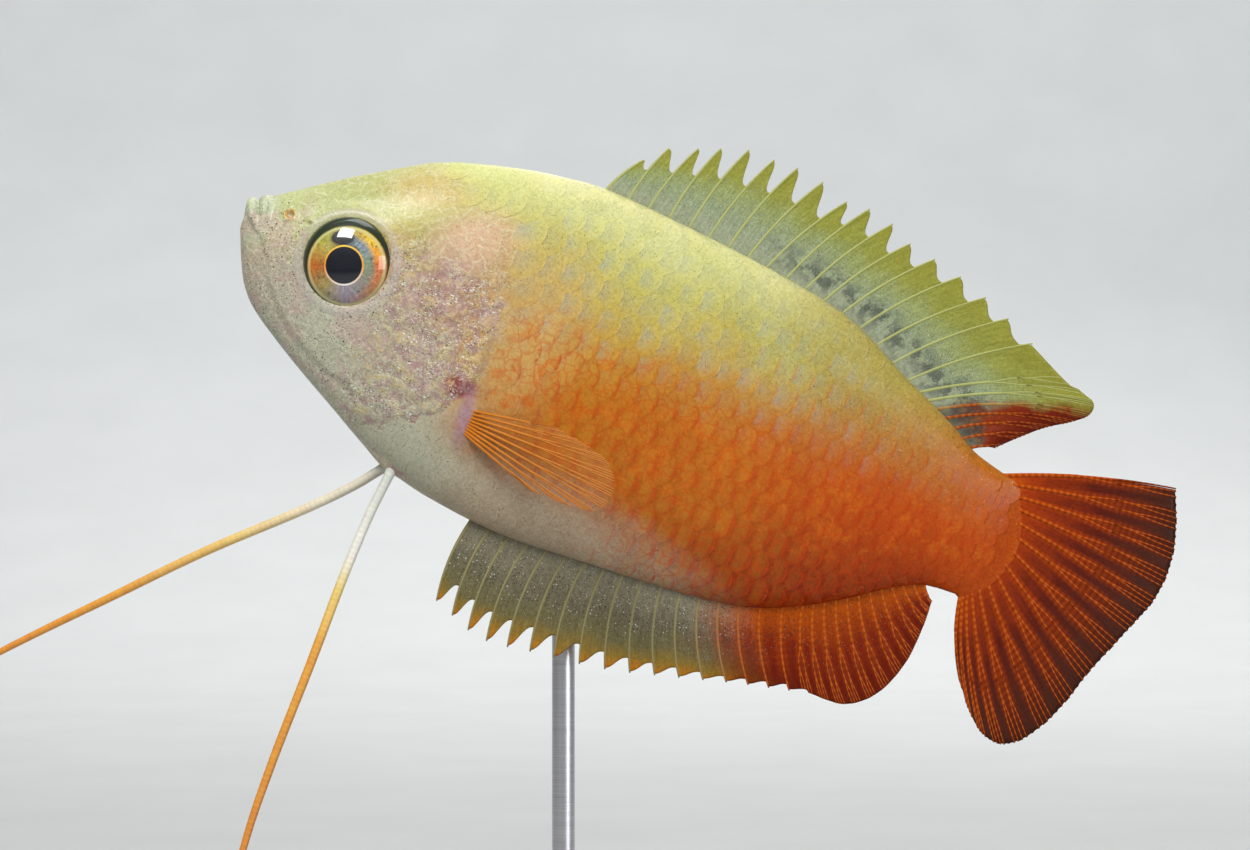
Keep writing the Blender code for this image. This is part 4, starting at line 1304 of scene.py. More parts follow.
    def map_for_bake(self, made: Piece) -> None:
        """Give each scale its patch of the bake map, and store its places on the body.

        The patch lies at the scale's root on an unwrap of the skin, one half of the map to a flank.

        Args:
            made: the coat.
        """
        values = []
        for name in ("root", "size", "local"):
            read = np.zeros(len(made.data.vertices) * 3, np.float32)
            made.data.attributes[name].data.foreach_get("vector", read)
            values.append(read.reshape(-1, 3))
        root, size, local = values
        shift = 0.02 if self.side is Side.LEFT else 0.52
        place = self.to_map(root) * (1.0, 0.46) + (0.0, shift)
        patch = place + self.bake_patch * np.stack((local[:, 0] - 0.5, local[:, 1]), -1)
        corners = np.zeros(len(made.data.loops), np.int32)
        made.data.loops.foreach_get("vertex_index", corners)
        layer = made.data.uv_layers.new(name="OFBake")
        layer.data.foreach_set("uv", patch[corners].astype(np.float32).ravel())
        u = root[:, 0] + local[:, 0] * size[:, 0]
        offset = root[:, 1] + local[:, 1] * size[:, 1]
        stations = np.linspace(self.sheet_ends[0], self.last_scale, 200)
        angles, lengths = self.arc(np.clip(stations, BODY.start, BODY.end))
        row = np.clip(np.searchsorted(stations, u), 0, len(stations) - 1)
        nearest = np.abs(lengths[row] - np.abs(offset)[:, None]).argmin(axis=1)
        middle, height, width = BODY.section(u)
        rise = np.sin(angles[nearest]) * np.sign(offset)
        across = width * np.cos(angles[nearest]) * self.side.value
        spot = np.stack((u, across, middle + height * rise), -1)
        store(made, "fish", spot)
        store(made, "height", 0.5 + 0.5 * rise)
        store(made, "scale", np.stack((local[:, 0], 2.0 * local[:, 1], size[:, 2]), -1))


@dataclass(frozen=True)
class ScaleFinish:
    """Scales: the skin's markings, a pale blue root and a fiery rear edge with a painted highlight on each
    scale.
    """

    skin: SkinFinish
    blue: Colour = (0.26, 0.32, 0.33)
    # Colour of the painted highlight along each scale's rear edge.
    edge: Colour = (0.95, 0.85, 0.55)
    gold: Colour = (0.56, 0.26, 0.03)
    fire: Colour = (0.50, 0.048, 0.001)
    dark: Colour = (0.02, 0.02, 0.02)

    def build(self) -> Material:
        """Make the scales' material.

        Returns:
            The material.
        """
        made, graph = new_material("scales")
        colour, grain, spot, height = self.skin.dressed(graph)
        u = graph.split(spot)[0]
        share, across, tint = graph.split(graph.attribute("scale"))
        bent = across * across * 0.1 + share
        # Pale blue hearts with dark dots on the upper rows.
        upper = graph.band(height, 0.56, 0.90, 0.10)
        heart = graph.step(abs(across), 0.95, 0.1) * graph.step(bent, 0.95, 0.45)
        bluish = heart * upper * (tint * 0.24 + 0.16) * (graph.step(u, 92.0, 70.0) * 0.75 + 0.25)
        bluish = bluish * (graph.noise(spot, 1.3, 3.0, 0.7) * 2.6 - 0.3)
        colour = graph.mix(bluish, colour, self.blue)
        dots, _ = graph.specks(spot, 6.4, 0.26, 0.85)
        colour = graph.mix(dots * heart * upper * 0.75, colour, self.dark)
        # Golden centres of the lower rows.
        broken = graph.step(graph.noise(spot, 1.1, 3.0, 0.6), 0.28, 0.52)
        pale_belly = graph.step(u, 66.0, 48.0) * graph.step(height, 0.22, 0.12)
        throat = graph.step(u, 46.0, 38.0) * graph.step(height, 0.44, 0.32)
        lower = graph.clamp(graph.step(height, 0.68, 0.52) - graph.largest(pale_belly, throat))
        inner = graph.step(abs(across), 0.85, 0.4) * graph.band(bent, 0.6, 0.9, 0.06)
        golden = inner * (lower * (graph.step(u, 92.0, 66.0) * 0.18 + 0.05))
        golden = graph.clamp(golden * (graph.noise(spot, 0.5, 3.0, 0.6) * 2.4 - 0.3))
        colour = graph.mix(golden, colour, self.gold)
        # Fiery rear edges and veins, and a painted highlight: a thin pale line at the very edge.
        rim = graph.band(bent, 0.93, 1.1, 0.05) * broken
        veins = graph.net(graph.warp(spot, 0.8, 1.4), 0.62, 0.10)
        colour = graph.mix(veins * lower * 0.42, colour, self.fire)
        rear = graph.step(u, 58.0, 74.0) * graph.step(height, 0.9, 0.74)
        fiery = rim * graph.largest(lower * 0.62, rear * 0.5)
        colour = graph.mix(fiery, colour, self.fire)
        # Painted highlight: a thin pale line along the rear edge, faint on the lower rows.
        pale = graph.band(bent, 0.965, 1.1, 0.02) * (lower * -0.14 + 0.16)
        colour = graph.mix(pale * graph.step(u, 92.0, 70.0), colour, self.edge)
        colour = graph.mix(0.5, colour, graph.grey(tint, (0.0, 0.42), (1.0, 0.58)), "SOFT_LIGHT")
        rings = graph.math("SINE", bent * 60.0)
        normal = graph.bump(rings * 0.08 + grain * 0.6, 0.35, 0.00005)
        graph.surface(base_color=colour, roughness=0.42 - rim * 0.15, normal=normal, specular_ior_level=0.10,
                      coat_weight=0.12, coat_roughness=0.16)
        return made


@dataclass(frozen=True)
class Ray:
    """One spine or ray of a fin in the fish's frame, bowed across its chord."""

    root: np.ndarray
    tip: np.ndarray
    bow: float

    @property
    def length(self) -> float:
        """Length of the chord."""
        return float(np.hypot(*(self.tip - self.root)))


# Share of its rays that a fin's membrane and the tips of its soft rays reach.
FULL = 0.985


@dataclass
class Fin:
    """A fin: a thin membrane on spines or branching rays."""

    name: str
    nodes: tuple[str, ...]
    rays: list[Ray]
    branched: list[bool]
    notches: list[float]
    lateral: Callable[[np.ndarray, np.ndarray], np.ndarray]
    sunk: float = 1.4
    membrane: Pair = (0.17, 0.07)
    bone: Pair = (0.28, 0.12)
    ragged: float = 0.0
    cell_columns: int = 10
    gap: float = 0.04
    fringes: int = 4
    rows: int = 36
    forks: Pair = (0.38, 0.62)
    spreads: Pair = (0.17, 0.085)
    margin: tuple[np.ndarray, ...] = ()
    points: list[list[float]] = field(default_factory=list)
    faces: list[list[int]] = field(default_factory=list)
    fin: list[list[float]] = field(default_factory=list)
    ridge: list[float] = field(default_factory=list)

    def length(self, x: np.ndarray) -> np.ndarray:
        """Length of the rays at the ray coordinate x."""
        return np.interp(x, np.arange(len(self.rays)), [ray.length for ray in self.rays])

    def spot(self, x: np.ndarray, t: np.ndarray) -> np.ndarray:
        """Find places in side view.

        Args:
            x: ray coordinates, where each ray stands at its number.
            t: shares of the rays there.

        Returns:
            The places (u, v).
        """
        last = len(self.rays) - 1
        share = np.clip(x, 0.0, last).ravel() / last
        root = follow([ray.root for ray in self.rays], share).reshape(*x.shape, 2)
        tip = follow([ray.tip for ray in self.rays], share).reshape(*x.shape, 2)
        bow = np.interp(x, np.arange(last + 1), [ray.bow for ray in self.rays])[..., None]
        chord = tip - root
        side = np.stack((chord[..., 1], -chord[..., 0]), -1) * bow
        t = t[..., None]
        return root + chord * t + side * 4.0 * t * (1.0 - t)

    def solid(self, flat: np.ndarray, t: np.ndarray) -> np.ndarray:
        """Spots (u, w, v) of places in side view."""
        return np.stack((flat[..., 0], self.lateral(flat, t), flat[..., 1]), -1)

    @staticmethod
    def pleat(x: np.ndarray, t: np.ndarray) -> np.ndarray:
        """Sideways fold of the membrane between the rays."""
        return 0.05 * np.sin(2.0 * math.pi * x) * np.clip(t, 0.0, 1.0)

    def add_membrane(self) -> None:
        """Add the membrane as one closed sheet from the first ray to the last."""
        steps = np.linspace(0.0, 1.0, self.cell_columns)
        xs, margins = [], []
        for index in range(len(self.rays) - 1):
            depth = self.notches[index]
            xs.append(index + self.gap + (1.0 - 2.0 * self.gap) * steps)
            fringe = self.ragged * (0.5 - 0.5 * np.cos(2.0 * math.pi * self.fringes * steps))
            lobe = 0.35 * (1.0 - steps) ** 1.7 + 0.65 * smooth(0.88, 0.06, steps)
            margins.append(depth + (FULL - depth) * lobe - fringe * self.branched[index])
        x = np.concatenate(xs)
        margin = np.concatenate(margins)
        self.margin = (x, margin)
        length = self.length(x)
        start = -self.sunk / length
        down = np.linspace(0.0, 1.0, self.rows)
        t = start[:, None] + (margin - start)[:, None] * down[None]
        grid = np.repeat(x[:, None], self.rows, 1)
        middle = self.solid(self.spot(grid, t), np.maximum(t, 0.0))
        thick = self.membrane[0] + (self.membrane[1] - self.membrane[0]) * np.clip(t, 0.0, 1.0) ** 0.5
        marks = np.stack((grid, t, t * length[:, None]), -1).reshape(-1, 3).tolist()
        base, half = len(self.points), grid.size
        for side in (-1.0, 1.0):
            sheet = middle.copy()
            sheet[..., 1] += self.pleat(grid, t) + side * thick
            self.points += sheet.reshape(-1, 3).tolist()
            self.fin += marks
            self.ridge += [0.0] * half
        index = np.arange(half).reshape(grid.shape)
        quads, rim = grid_faces(index), grid_rim(index)
        after = np.roll(rim, -1)
        edge = np.stack((rim, half + rim, half + after, after), -1)
        self.faces += (base + np.vstack((quads, half + quads[:, ::-1], edge))).tolist()

    def add_bone(self, x: np.ndarray, t: np.ndarray, radii: np.ndarray, sides: int = 8) -> None:
        """Add a round bar with pointed ends.

        Args:
            x: ray coordinates along the bar.
            t: shares of the rays along it.
            radii: its radii there.
            sides: number of points round it.
        """
        line = self.solid(self.spot(x, t), np.maximum(t, 0.0))
        line[:, 1] += self.pleat(x, t)
        rings, ahead = sweep(line, radii, sides)
        ends = (line[0] - ahead[0] * radii[0] * 0.4, line[-1] + ahead[-1] * radii[-1] * 0.8)
        points, faces = loft(rings, *ends)
        base = len(self.points)
        self.points += points.tolist()
        marks = np.stack((x, t, t * self.length(x)), -1)
        self.fin += np.vstack((np.repeat(marks, sides, 0), marks[0], marks[-1])).tolist()
        self.ridge += [1.0] * len(points)
        self.faces += [[base + index for index in face] for face in faces]

    def add_rays(self) -> None:
        """Add every spine as one bar and every soft ray as a bar that forks twice."""
        thick, thin = self.bone
        first, second = self.forks
        wide, narrow = self.spreads
        last = len(self.rays) - 1
        middle = np.linspace(first, second + 0.07, 8)
        outer = np.linspace(second, FULL, 10)
        for index, ray in enumerate(self.rays):
            start = -self.sunk / ray.length
            if not self.branched[index]:
                t = np.linspace(start, 1.0, 18)
                taper = np.clip(1.0 - t, 0.0, 1.0) ** 0.8
                self.add_bone(np.full(18, float(index)), t, thin + (thick - thin) * taper)
                continue
            t = np.linspace(start, first + 0.02, 9)
            self.add_bone(np.full(9, float(index)), t, thick * np.linspace(1.15, 0.85, 9))
            for way in (-wide, wide):
                x = np.clip(index + way * smooth(first, second, middle), 0.0, last)
                self.add_bone(x, middle, np.linspace(0.75 * thick, 0.40 * thick, 8), 6)
                for fork in (-narrow, narrow):
                    x = np.clip(index + way + fork * smooth(0.68, 0.9, outer), 0.0, last)
                    end = min(FULL, np.interp(x[-1], *self.margin) + self.ragged)
                    t = second + (outer - second) * (end - second) / (FULL - second)
                    self.add_bone(x, t, np.linspace(0.55 * thick, 0.8 * thin, 10), 6)

    def build(self, material: Material) -> Piece:
        """Make the fin.

        Args:
            material: the fin's material.

        Returns:
            The finished piece.
        """
        self.add_membrane()
        self.add_rays()
        spots = np.array(self.points)
        made = make_object(self.name, FISH.place(spots), self.faces)
        face_out(made)
        made.data.materials.append(material)
        store(made, "fish", spots)
        store(made, "fin", np.array(self.fin))
        store(made, "ridge", np.array(self.ridge))
        return finish_piece(made, self.nodes)


@dataclass(frozen=True)
class FinPlan:
    """Where the fins stand and how far their rays reach."""

    lift: float = 0.767
    spines: int = 17
    soft_dorsal_rays: int = 7
    soft_anal_rays: int = 12
    tail_rays: int = 15
    pectoral_rays: int = 9
    dorsal_root: Pair = (40.8, 96.0)
    dorsal_tips: Line = (
        (43.1, 27.2), (45.6, 29.9), (49.0, 31.3), (51.6, 32.4), (54.9, 33.6), (58.3, 33.7), (61.4, 33.9),
        (65.0, 33.5), (68.7, 32.4), (71.7, 32.7), (75.1, 32.1), (78.1, 30.7), (81.7, 30.1), (85.6, 29.4),
        (89.5, 28.2), (93.2, 26.9), (97.2, 25.2),
    )
    soft_dorsal_tips: Line = (
        (105.0, 22.4), (108.0, 21.2), (107.2, 19.0), (104.2, 17.0), (101.4, 14.6), (98.2, 11.4),
    )
    soft_dorsal_start: float = 87.4
    anal_root: Pair = (40.6, 97.0)
    anal_tips: Line = (
        (40.7, -33.4), (47.5, -35.6), (54.9, -34.6), (63.4, -33.2), (71.4, -30.9), (79.0, -28.6),
        (85.8, -26.8),
    )
    soft_anal_tips: Line = (
        (88.2, -26.3), (93.0, -25.9), (96.4, -23.0), (98.2, -18.0), (98.4, -12.6), (98.1, -9.6),
    )
    soft_anal_start: float = 83.4
    tail_tips: Line = (
        (121.8, 15.6), (124.6, 9.0), (125.1, 2.5), (123.2, -3.5), (120.6, -10.5), (118.4, -17.6),
        (114.6, -22.8), (110.0, -22.4), (105.4, -17.6),
    )
    last_step: float = 2.2
    pectoral_root: Line = ((37.6, -9.4), (38.4, -13.4))
    pectoral_tips: Line = ((46.5, -7.6), (53.6, -8.8), (56.0, -12.2), (54.3, -15.4), (46.8, -16.0))

    def dorsal(self) -> Fin:
        """Plan the dorsal fin: 17 spines and 7 soft rays, whose lower ones curl to the fish's right.

        Returns:
            The fin, with nothing built yet.
        """
        spiny = (self.dorsal_root[0], self.soft_dorsal_start - self.last_step)
        soft = (self.soft_dorsal_start, self.dorsal_root[1])
        rays = self.along(BODY.top, spiny, self.dorsal_tips, self.spines, -0.035)
        rays += self.along(BODY.top, soft, self.soft_dorsal_tips, self.soft_dorsal_rays, -0.05)
        last = self.spines - 1
        notches = [0.48 + 0.45 * index / last for index in range(last)]
        notches += [0.95] + [FULL] * (self.soft_dorsal_rays - 1)

        def fold(flat: np.ndarray, t: np.ndarray) -> np.ndarray:
            """Sideways curl of the lower rear rays."""
            rear = smooth(84.0, 92.0, flat[..., 0])
            return rear * 1.6 * t * t * np.clip((24.0 - flat[..., 1]) / 8.0, 0.0, 1.0)

        branched = [False] * self.spines + [True] * self.soft_dorsal_rays
        nodes = ("dorsal_fin_spiny", "dorsal_fin_soft")
        return Fin("dorsal_fin", nodes, rays, branched, notches, fold, bone=(0.23, 0.11))

    def anal(self) -> Fin:
        """Plan the anal fin: 17 spines and 12 soft rays.

        Returns:
            The fin, with nothing built yet.
        """
        spiny = (self.anal_root[0], self.soft_anal_start - self.last_step)
        soft = (self.soft_anal_start, self.anal_root[1])
        rays = self.along(BODY.bottom, spiny, self.anal_tips, self.spines, 0.05)
        rays += self.along(BODY.bottom, soft, self.soft_anal_tips, self.soft_anal_rays, 0.05)
        notches = [0.66 + 0.26 * min(index / 12.0, 1.0) for index in range(self.spines - 1)]
        notches += [0.95] + [FULL] * (self.soft_anal_rays - 1)
        branched = [False] * self.spines + [True] * self.soft_anal_rays
        nodes = ("anal_fin_spiny", "anal_fin_soft")
        return Fin("anal_fin", nodes, rays, branched, notches, self.upright, bone=(0.23, 0.11))

    def tail(self) -> Fin:
        """Plan the tail fin: 15 forked rays on the end of the stalk.

        Returns:
            The fin, with nothing built yet.
        """
        middle, height, _ = (float(value) for value in BODY.section(np.array(BODY.end)))
        rays = []
        count = self.tail_rays
        for t in np.linspace(0.0, 1.0, count):
            root = np.array((BODY.end + self.lift, middle + height * (1.0 - 2.0 * t)))
            rays.append(Ray(root, follow(self.tail_tips, t)[0], 0.08 * (t - 0.35)))
        return Fin("tail_fin", ("caudal_fin",), rays, [True] * count, [FULL] * (count - 1), self.upright,
                   sunk=3.2, cell_columns=13, ragged=0.006)

    def pectoral(self, side: Side) -> Fin:
        """Plan a pectoral fin, which stands off the flank.

        Args:
            side: the flank it stands on.

        Returns:
            The fin, with nothing built yet.
        """
        rays = []
        count = self.pectoral_rays
        for t in np.linspace(0.0, 1.0, count):
            rays.append(Ray(follow(self.pectoral_root, t)[0], follow(self.pectoral_tips, t)[0], 0.0))

        def standing(flat: np.ndarray, _: np.ndarray) -> np.ndarray:
            """Work out the sideways place, over the flank at the root and farther out at the tips.

            Args:
                flat: places in side view.

            Returns:
                The sideways place of each.
            """
            root_u = self.pectoral_root[0][0]
            middle, height, width = BODY.section(np.full(flat.shape[:-1], root_u))
            flank = width * np.sqrt(1.0 - np.clip((flat[..., 1] - middle) / height, -0.98, 0.98) ** 2)
            ahead = flat[..., 0] - root_u
            return side.value * (flank + 1.1 + np.where(ahead > 0.0, 0.34, 0.95) * ahead)

        nodes = (f"pectoral_fin_{side.word}",)
        return Fin(f"pectoral_{side.word}_fin", nodes, rays, [True] * count, [0.98] * (count - 1), standing,
                   sunk=2.6, membrane=(0.10, 0.05), bone=(0.17, 0.09), rows=24, ragged=0.012)

    def along(self, line: Line, ends: Pair, tips: Line, count: int, bow: float) -> list[Ray]:
        """Set rays on the body's top or bottom line.

        Args:
            line: the line.
            ends: places of the first and the last ray along the body.
            tips: line through the tips.
            count: number of rays.
            bow: how far they are bowed, as a share of their length.

        Returns:
            The rays.
        """
        lift = self.lift if line is BODY.top else -self.lift
        rays = []
        for t in np.linspace(0.0, 1.0, count):
            u = ends[0] + (ends[1] - ends[0]) * t
            rays.append(Ray(np.array((u, float(ease(line, u)) + lift)), follow(tips, t)[0], bow))
        return rays

    @staticmethod
    def upright(flat: np.ndarray, _: np.ndarray) -> np.ndarray:
        """Sideways place of a fin that stands in the fish's middle plane."""
        return np.zeros(flat.shape[:-1])


@dataclass(frozen=True)
class FinFinish:
    """Membrane and rays of a fin, from root to margin and from its front part to its rear part."""

    name: str
    front: Stops
    rear: Stops
    turn: Pair
    bone: Colour
    rear_bone: Colour
    specks: float = 0.5
    clear: float = 1.0
    streaks: float = 0.5
    smudge: float = 0.0
    smudge_from: float = 6.0
    smudge_colour: Colour = (0.03, 0.035, 0.045)
    bundle: float = 0.0
    dark: Colour = (0.02, 0.022, 0.02)
    pale: Colour = (0.62, 0.68, 0.60)
    rear_pale: Colour = (0.40, 0.16, 0.06)
    joint: Colour = (0.62, 0.16, 0.012)

    def build(self) -> Material:
        """Make the fin's material.

        Returns:
            The material.
        """
        made, graph = new_material(self.name)
        spot = graph.attribute("fish")
        x, t, out = graph.split(graph.attribute("fin"))
        ridge = graph.number("ridge")
        wander = graph.noise(spot, 0.22, 3.0, 0.6) - 0.5
        shifted = t + wander * 0.35
        back = graph.step(x + wander * 3.0, self.turn[0], self.turn[1])
        colour = graph.mix(back, graph.ramp(shifted, self.front), graph.ramp(shifted, self.rear))
        fibres = graph.noise(graph.join(x * 9.0, out * 0.25), 1.0, 3.0, 0.6)
        colour = graph.mix(self.streaks, colour, graph.grey(fibres, (0.30, 0.30), (0.70, 0.72)), "SOFT_LIGHT")
        # Joints of the rays, and the bundles of light that run along them.
        joints = graph.math("SINE", out * 7.5)
        if self.bundle > 0.0:
            beside = abs(graph.math("FRACT", x + 0.5) - 0.5)
            close = graph.step(beside - graph.step(t, 0.3, 0.7) * 0.12, 0.34, 0.1)
            fading = graph.step(t, 1.05, 0.45) * close * (joints * 0.22 + 0.62) * back * self.bundle
            colour = graph.mix(fading, colour, self.rear_bone)
        if self.smudge > 0.0:
            cloud = graph.step(graph.noise(spot, 0.55, 4.0, 0.65), 0.42, 0.56)
            start = self.smudge_from
            foot = graph.band(shifted, 0.0, 0.24, 0.12) * graph.step(x, start, start + 4.0)
            colour = graph.mix(cloud * foot * self.smudge, colour, self.smudge_colour)
        grain = graph.grey(graph.noise(spot, 3.0, 5.0, 0.7), (0.34, 0.24), (0.66, 0.78))
        colour = graph.mix(0.45, colour, grain, "SOFT_LIGHT")
        low = graph.step(shifted, 0.80, 0.30) * self.specks
        dots, _ = graph.specks(spot, 4.0, 0.29, 0.9)
        colour = graph.mix(dots * low, colour, self.dark)
        flecks, _ = graph.specks(spot, 3.0, 0.20, 0.40)
        colour = graph.mix(flecks * low, colour, graph.mix(back, self.pale, self.rear_pale))
        bone = graph.mix(back, self.bone, self.rear_bone)
        bone = graph.mix(graph.step(joints, -0.4, 0.5) * back * 0.5, bone, self.joint)
        colour = graph.mix(ridge * 0.85, colour, bone)
        normal = graph.bump(joints * ridge * 0.25 + fibres, 0.3, 0.00005)
        inputs = {}
        if self.clear < 1.0:
            inputs["alpha"] = graph.clamp(graph.largest(ridge * 0.95, fibres * 0.1 + self.clear))
        graph.surface(base_color=colour, roughness=0.42, normal=normal, coat_weight=0.06, coat_roughness=0.15,
                      specular_ior_level=0.07, **inputs)
        return made


@dataclass(frozen=True)
class EyeFinish:
    """Golden and orange iris round a black pupil, under a wet gloss."""

    outer: Stops = (
        (0.0, (0.72, 0.14, 0.01)), (0.12, (0.80, 0.50, 0.05)), (0.25, (0.10, 0.11, 0.03)),
        (0.37, (0.40, 0.38, 0.06)), (0.50, (0.62, 0.16, 0.015)), (0.62, (0.32, 0.25, 0.05)),
        (0.75, (0.26, 0.22, 0.27)), (0.88, (0.46, 0.20, 0.08)), (1.0, (0.72, 0.14, 0.01)),
    )
    inner: Stops = (
        (0.0, (0.22, 0.27, 0.17)), (0.12, (0.22, 0.29, 0.34)), (0.25, (0.03, 0.03, 0.02)),
        (0.37, (0.42, 0.36, 0.08)), (0.50, (0.40, 0.11, 0.02)), (0.62, (0.36, 0.27, 0.08)),
        (0.75, (0.30, 0.26, 0.32)), (0.88, (0.26, 0.24, 0.20)), (1.0, (0.22, 0.27, 0.17)),
    )
    rim: Stops = (
        (0.0, (0.85, 0.35, 0.03)), (0.25, (0.90, 0.62, 0.08)), (0.50, (0.85, 0.32, 0.03)),
        (0.75, (0.85, 0.85, 0.80)), (1.0, (0.85, 0.35, 0.03)),
    )
    black: Colour = (0.006, 0.008, 0.014)
    crescent: Colour = (0.018, 0.028, 0.012)
    olive: Colour = (0.10, 0.085, 0.015)
    lid: Colour = (0.55, 0.52, 0.22)

    pale: Colour = (0.85, 0.8, 0.65)

    def build(self) -> Material:
        """Make the eyes' material.

        Returns:
            The material.
        """
        made, graph = new_material("eye")
        place = graph.attribute("eye")
        x, z, _ = graph.split(place)
        low = z + 0.107
        around = graph.math("ARCTAN2", low, x)
        turn = graph.math("FRACT", around * (0.5 / math.pi) + 1.0)
        away = (x * x + low * low) ** 0.5
        wobble = (graph.noise(place, 4.0, 4.0, 0.65) - 0.5) * 0.22
        inner, outer = graph.ramp(turn, self.inner), graph.ramp(turn, self.outer)
        colour = graph.mix(graph.step(away + wobble, 0.58, 0.76), inner, outer)
        fibres = graph.noise(graph.join(turn * 60.0, away * 6.0), 1.0, 4.0, 0.7)
        colour = graph.mix(0.55, colour, graph.grey(fibres, (0.30, 0.18), (0.70, 0.85)), "OVERLAY")
        blots = graph.noise(place, 7.0, 3.0, 0.6)
        colour = graph.mix(graph.step(blots, 0.56, 0.68) * 0.7, colour, self.olive)
        flecks, _ = graph.specks(place, 22.0, 0.22, 0.30)
        colour = graph.mix(flecks * 0.5, colour, self.pale)
        dots, _ = graph.specks(place, 15.0, 0.18, 0.40)
        colour = graph.mix(dots * 0.8, colour, self.black)
        # Dark patch over the pupil, ring round it, pupil, and the lid with its dark crescent.
        beside = ((x + 0.03) / 0.26) ** 2.0
        above = ((z - 0.5) / 0.17) ** 2.0
        patch = beside + above + wobble * 6.0
        colour = graph.mix(graph.step(patch, 1.25, 0.65) * 0.95, colour, self.black)
        ringed = graph.band(away + wobble * 0.1, 0.40, 0.44, 0.014)
        colour = graph.mix(ringed, colour, graph.ramp(turn, self.rim))
        colour = graph.mix(graph.step(away, 0.412, 0.395), colour, self.black)
        hooded = ((x - 0.03) ** 2.0 + (z + 0.11) ** 2.0) ** 0.5
        colour = graph.mix(graph.band(hooded, 0.81, 0.86, 0.03), colour, self.lid)
        colour = graph.mix(graph.step(hooded, 0.855, 0.90), colour, self.crescent)
        normal = graph.bump(fibres, 0.25, 0.00005)
        graph.surface(base_color=colour, roughness=0.4, normal=normal, coat_weight=1.0, coat_roughness=0.03,
                      specular_ior_level=0.2)
        return made


@dataclass
class Eye:
    """One eyeball, set into the head."""

    side: Side
    radius: float = 5.65
    bulge: float = 2.6
    sunk: float = 1.25
    yaw: float = math.radians(8.0)
    rings: int = 48
    sides: int = 72

    def build(self, material: Material) -> Piece:
        """Make the eye.

        Args:
            material: the eye's material.

        Returns:
            The finished piece.
        """
        lean = math.pi * (np.arange(self.rings) + 0.5) / self.rings
        turn = angles_round(self.sides)
        across = np.sin(lean)[:, None] * np.cos(turn)[None]
        up = np.sin(lean)[:, None] * np.sin(turn)[None]
        out = np.repeat(np.cos(lean)[:, None], self.sides, 1)
        local, faces = loft(np.stack((across, out, up), -1), (0.0, 1.0, 0.0), (0.0, -1.0, 0.0))
        sign = self.side.value
        shape = local * (self.radius, sign * self.bulge, self.radius)
        cosine, sine = math.cos(sign * self.yaw), math.sin(sign * self.yaw)
        u = shape[:, 0] * cosine - shape[:, 1] * sine
        w = shape[:, 0] * sine + shape[:, 1] * cosine
        middle = (EYE_CENTRE[0], sign * (BODY.flank(*EYE_CENTRE) - self.sunk), EYE_CENTRE[1])
        spots = np.stack((u, w, shape[:, 2]), -1) + middle
        made = make_object(f"eye_{self.side.word}_ball", FISH.place(spots), faces)
        face_out(made)
        made.data.materials.append(material)
        level_x = local[:, 0] * math.cos(FISH.pitch) + local[:, 2] * math.sin(FISH.pitch)
        level_z = local[:, 2] * math.cos(FISH.pitch) - local[:, 0] * math.sin(FISH.pitch)
        store(made, "eye", np.stack((level_x, level_z, local[:, 1]), -1))
        return finish_piece(made, (f"eye_{self.side.word}",))


@dataclass(frozen=True)
class ThreadFinish:
    """Thread-like fin, white at its root, then yellow and orange, with fine rings."""

    stops: Stops

    def build(self, name: str) -> Material:
        """Make a thread's material.

        Args:
            name: name of the material.

        Returns:
            The material.
        """
        made, graph = new_material(name)
        share, along, _ = graph.split(graph.attribute("thread"))
        colour = graph.ramp(share, self.stops)
        mottle = graph.noise(graph.join(along * 0.8, share), 1.0, 3.0, 0.6)
        colour = graph.mix(0.5, colour, graph.grey(mottle, (0.3, 0.35), (0.7, 0.72)), "SOFT_LIGHT")
        rings = graph.math("SINE", along * 9.0)
        normal = graph.bump(rings * 0.3 + mottle, 0.4, 4e-05)
        graph.surface(base_color=colour, roughness=0.4, normal=normal, coat_weight=0.2, coat_roughness=0.2,
                      subsurface_weight=0.2, subsurface_radius=(0.001, 0.0007, 0.0004))
        return made


@dataclass
class Thread:
    """One pelvic fin: a long tapering thread."""

    side: Side
    line: tuple[Triple, ...]
    nodes: tuple[str, ...]
    radii: Pair = (0.62, 0.31)
    rows: int = 140
    sides: int = 14

    def build(self, material: Material) -> Piece:
        """Make the thread.

        Args:
            material: the thread's material.

        Returns:
            The finished piece.
        """
        share = np.linspace(0.0, 1.0, self.rows)
        line = follow(self.line, share)
        into = (line[0] - line[2]) / np.linalg.norm(line[0] - line[2])
        line = np.vstack((line[0] + into * 2.6, line[0] + into * 1.3, line))
        share = np.concatenate(((0.0, 0.0), share))
        radii = self.radii[0] + (self.radii[1] - self.radii[0]) * share ** 3
        radii[:2] = self.radii[0] * np.array((1.5, 1.15))
        radii *= 1.0 - 0.7 * smooth(0.985, 1.0, share)
        rings, ahead = sweep(line, radii, self.sides)
        spots, faces = loft(rings, line[0], line[-1] + ahead[-1] * radii[-1])
        made = make_object(f"pelvic_thread_{self.side.word}", FISH.place(spots), faces)
        face_out(made)
        made.data.materials.append(material)
        along = lengths_along(line)
        marks = np.stack((share, along, np.zeros_like(along)), -1)
        marks = np.vstack((np.repeat(marks, self.sides, 0), marks[0], marks[-1]))
        store(made, "thread", marks)
        return finish_piece(made, self.nodes)


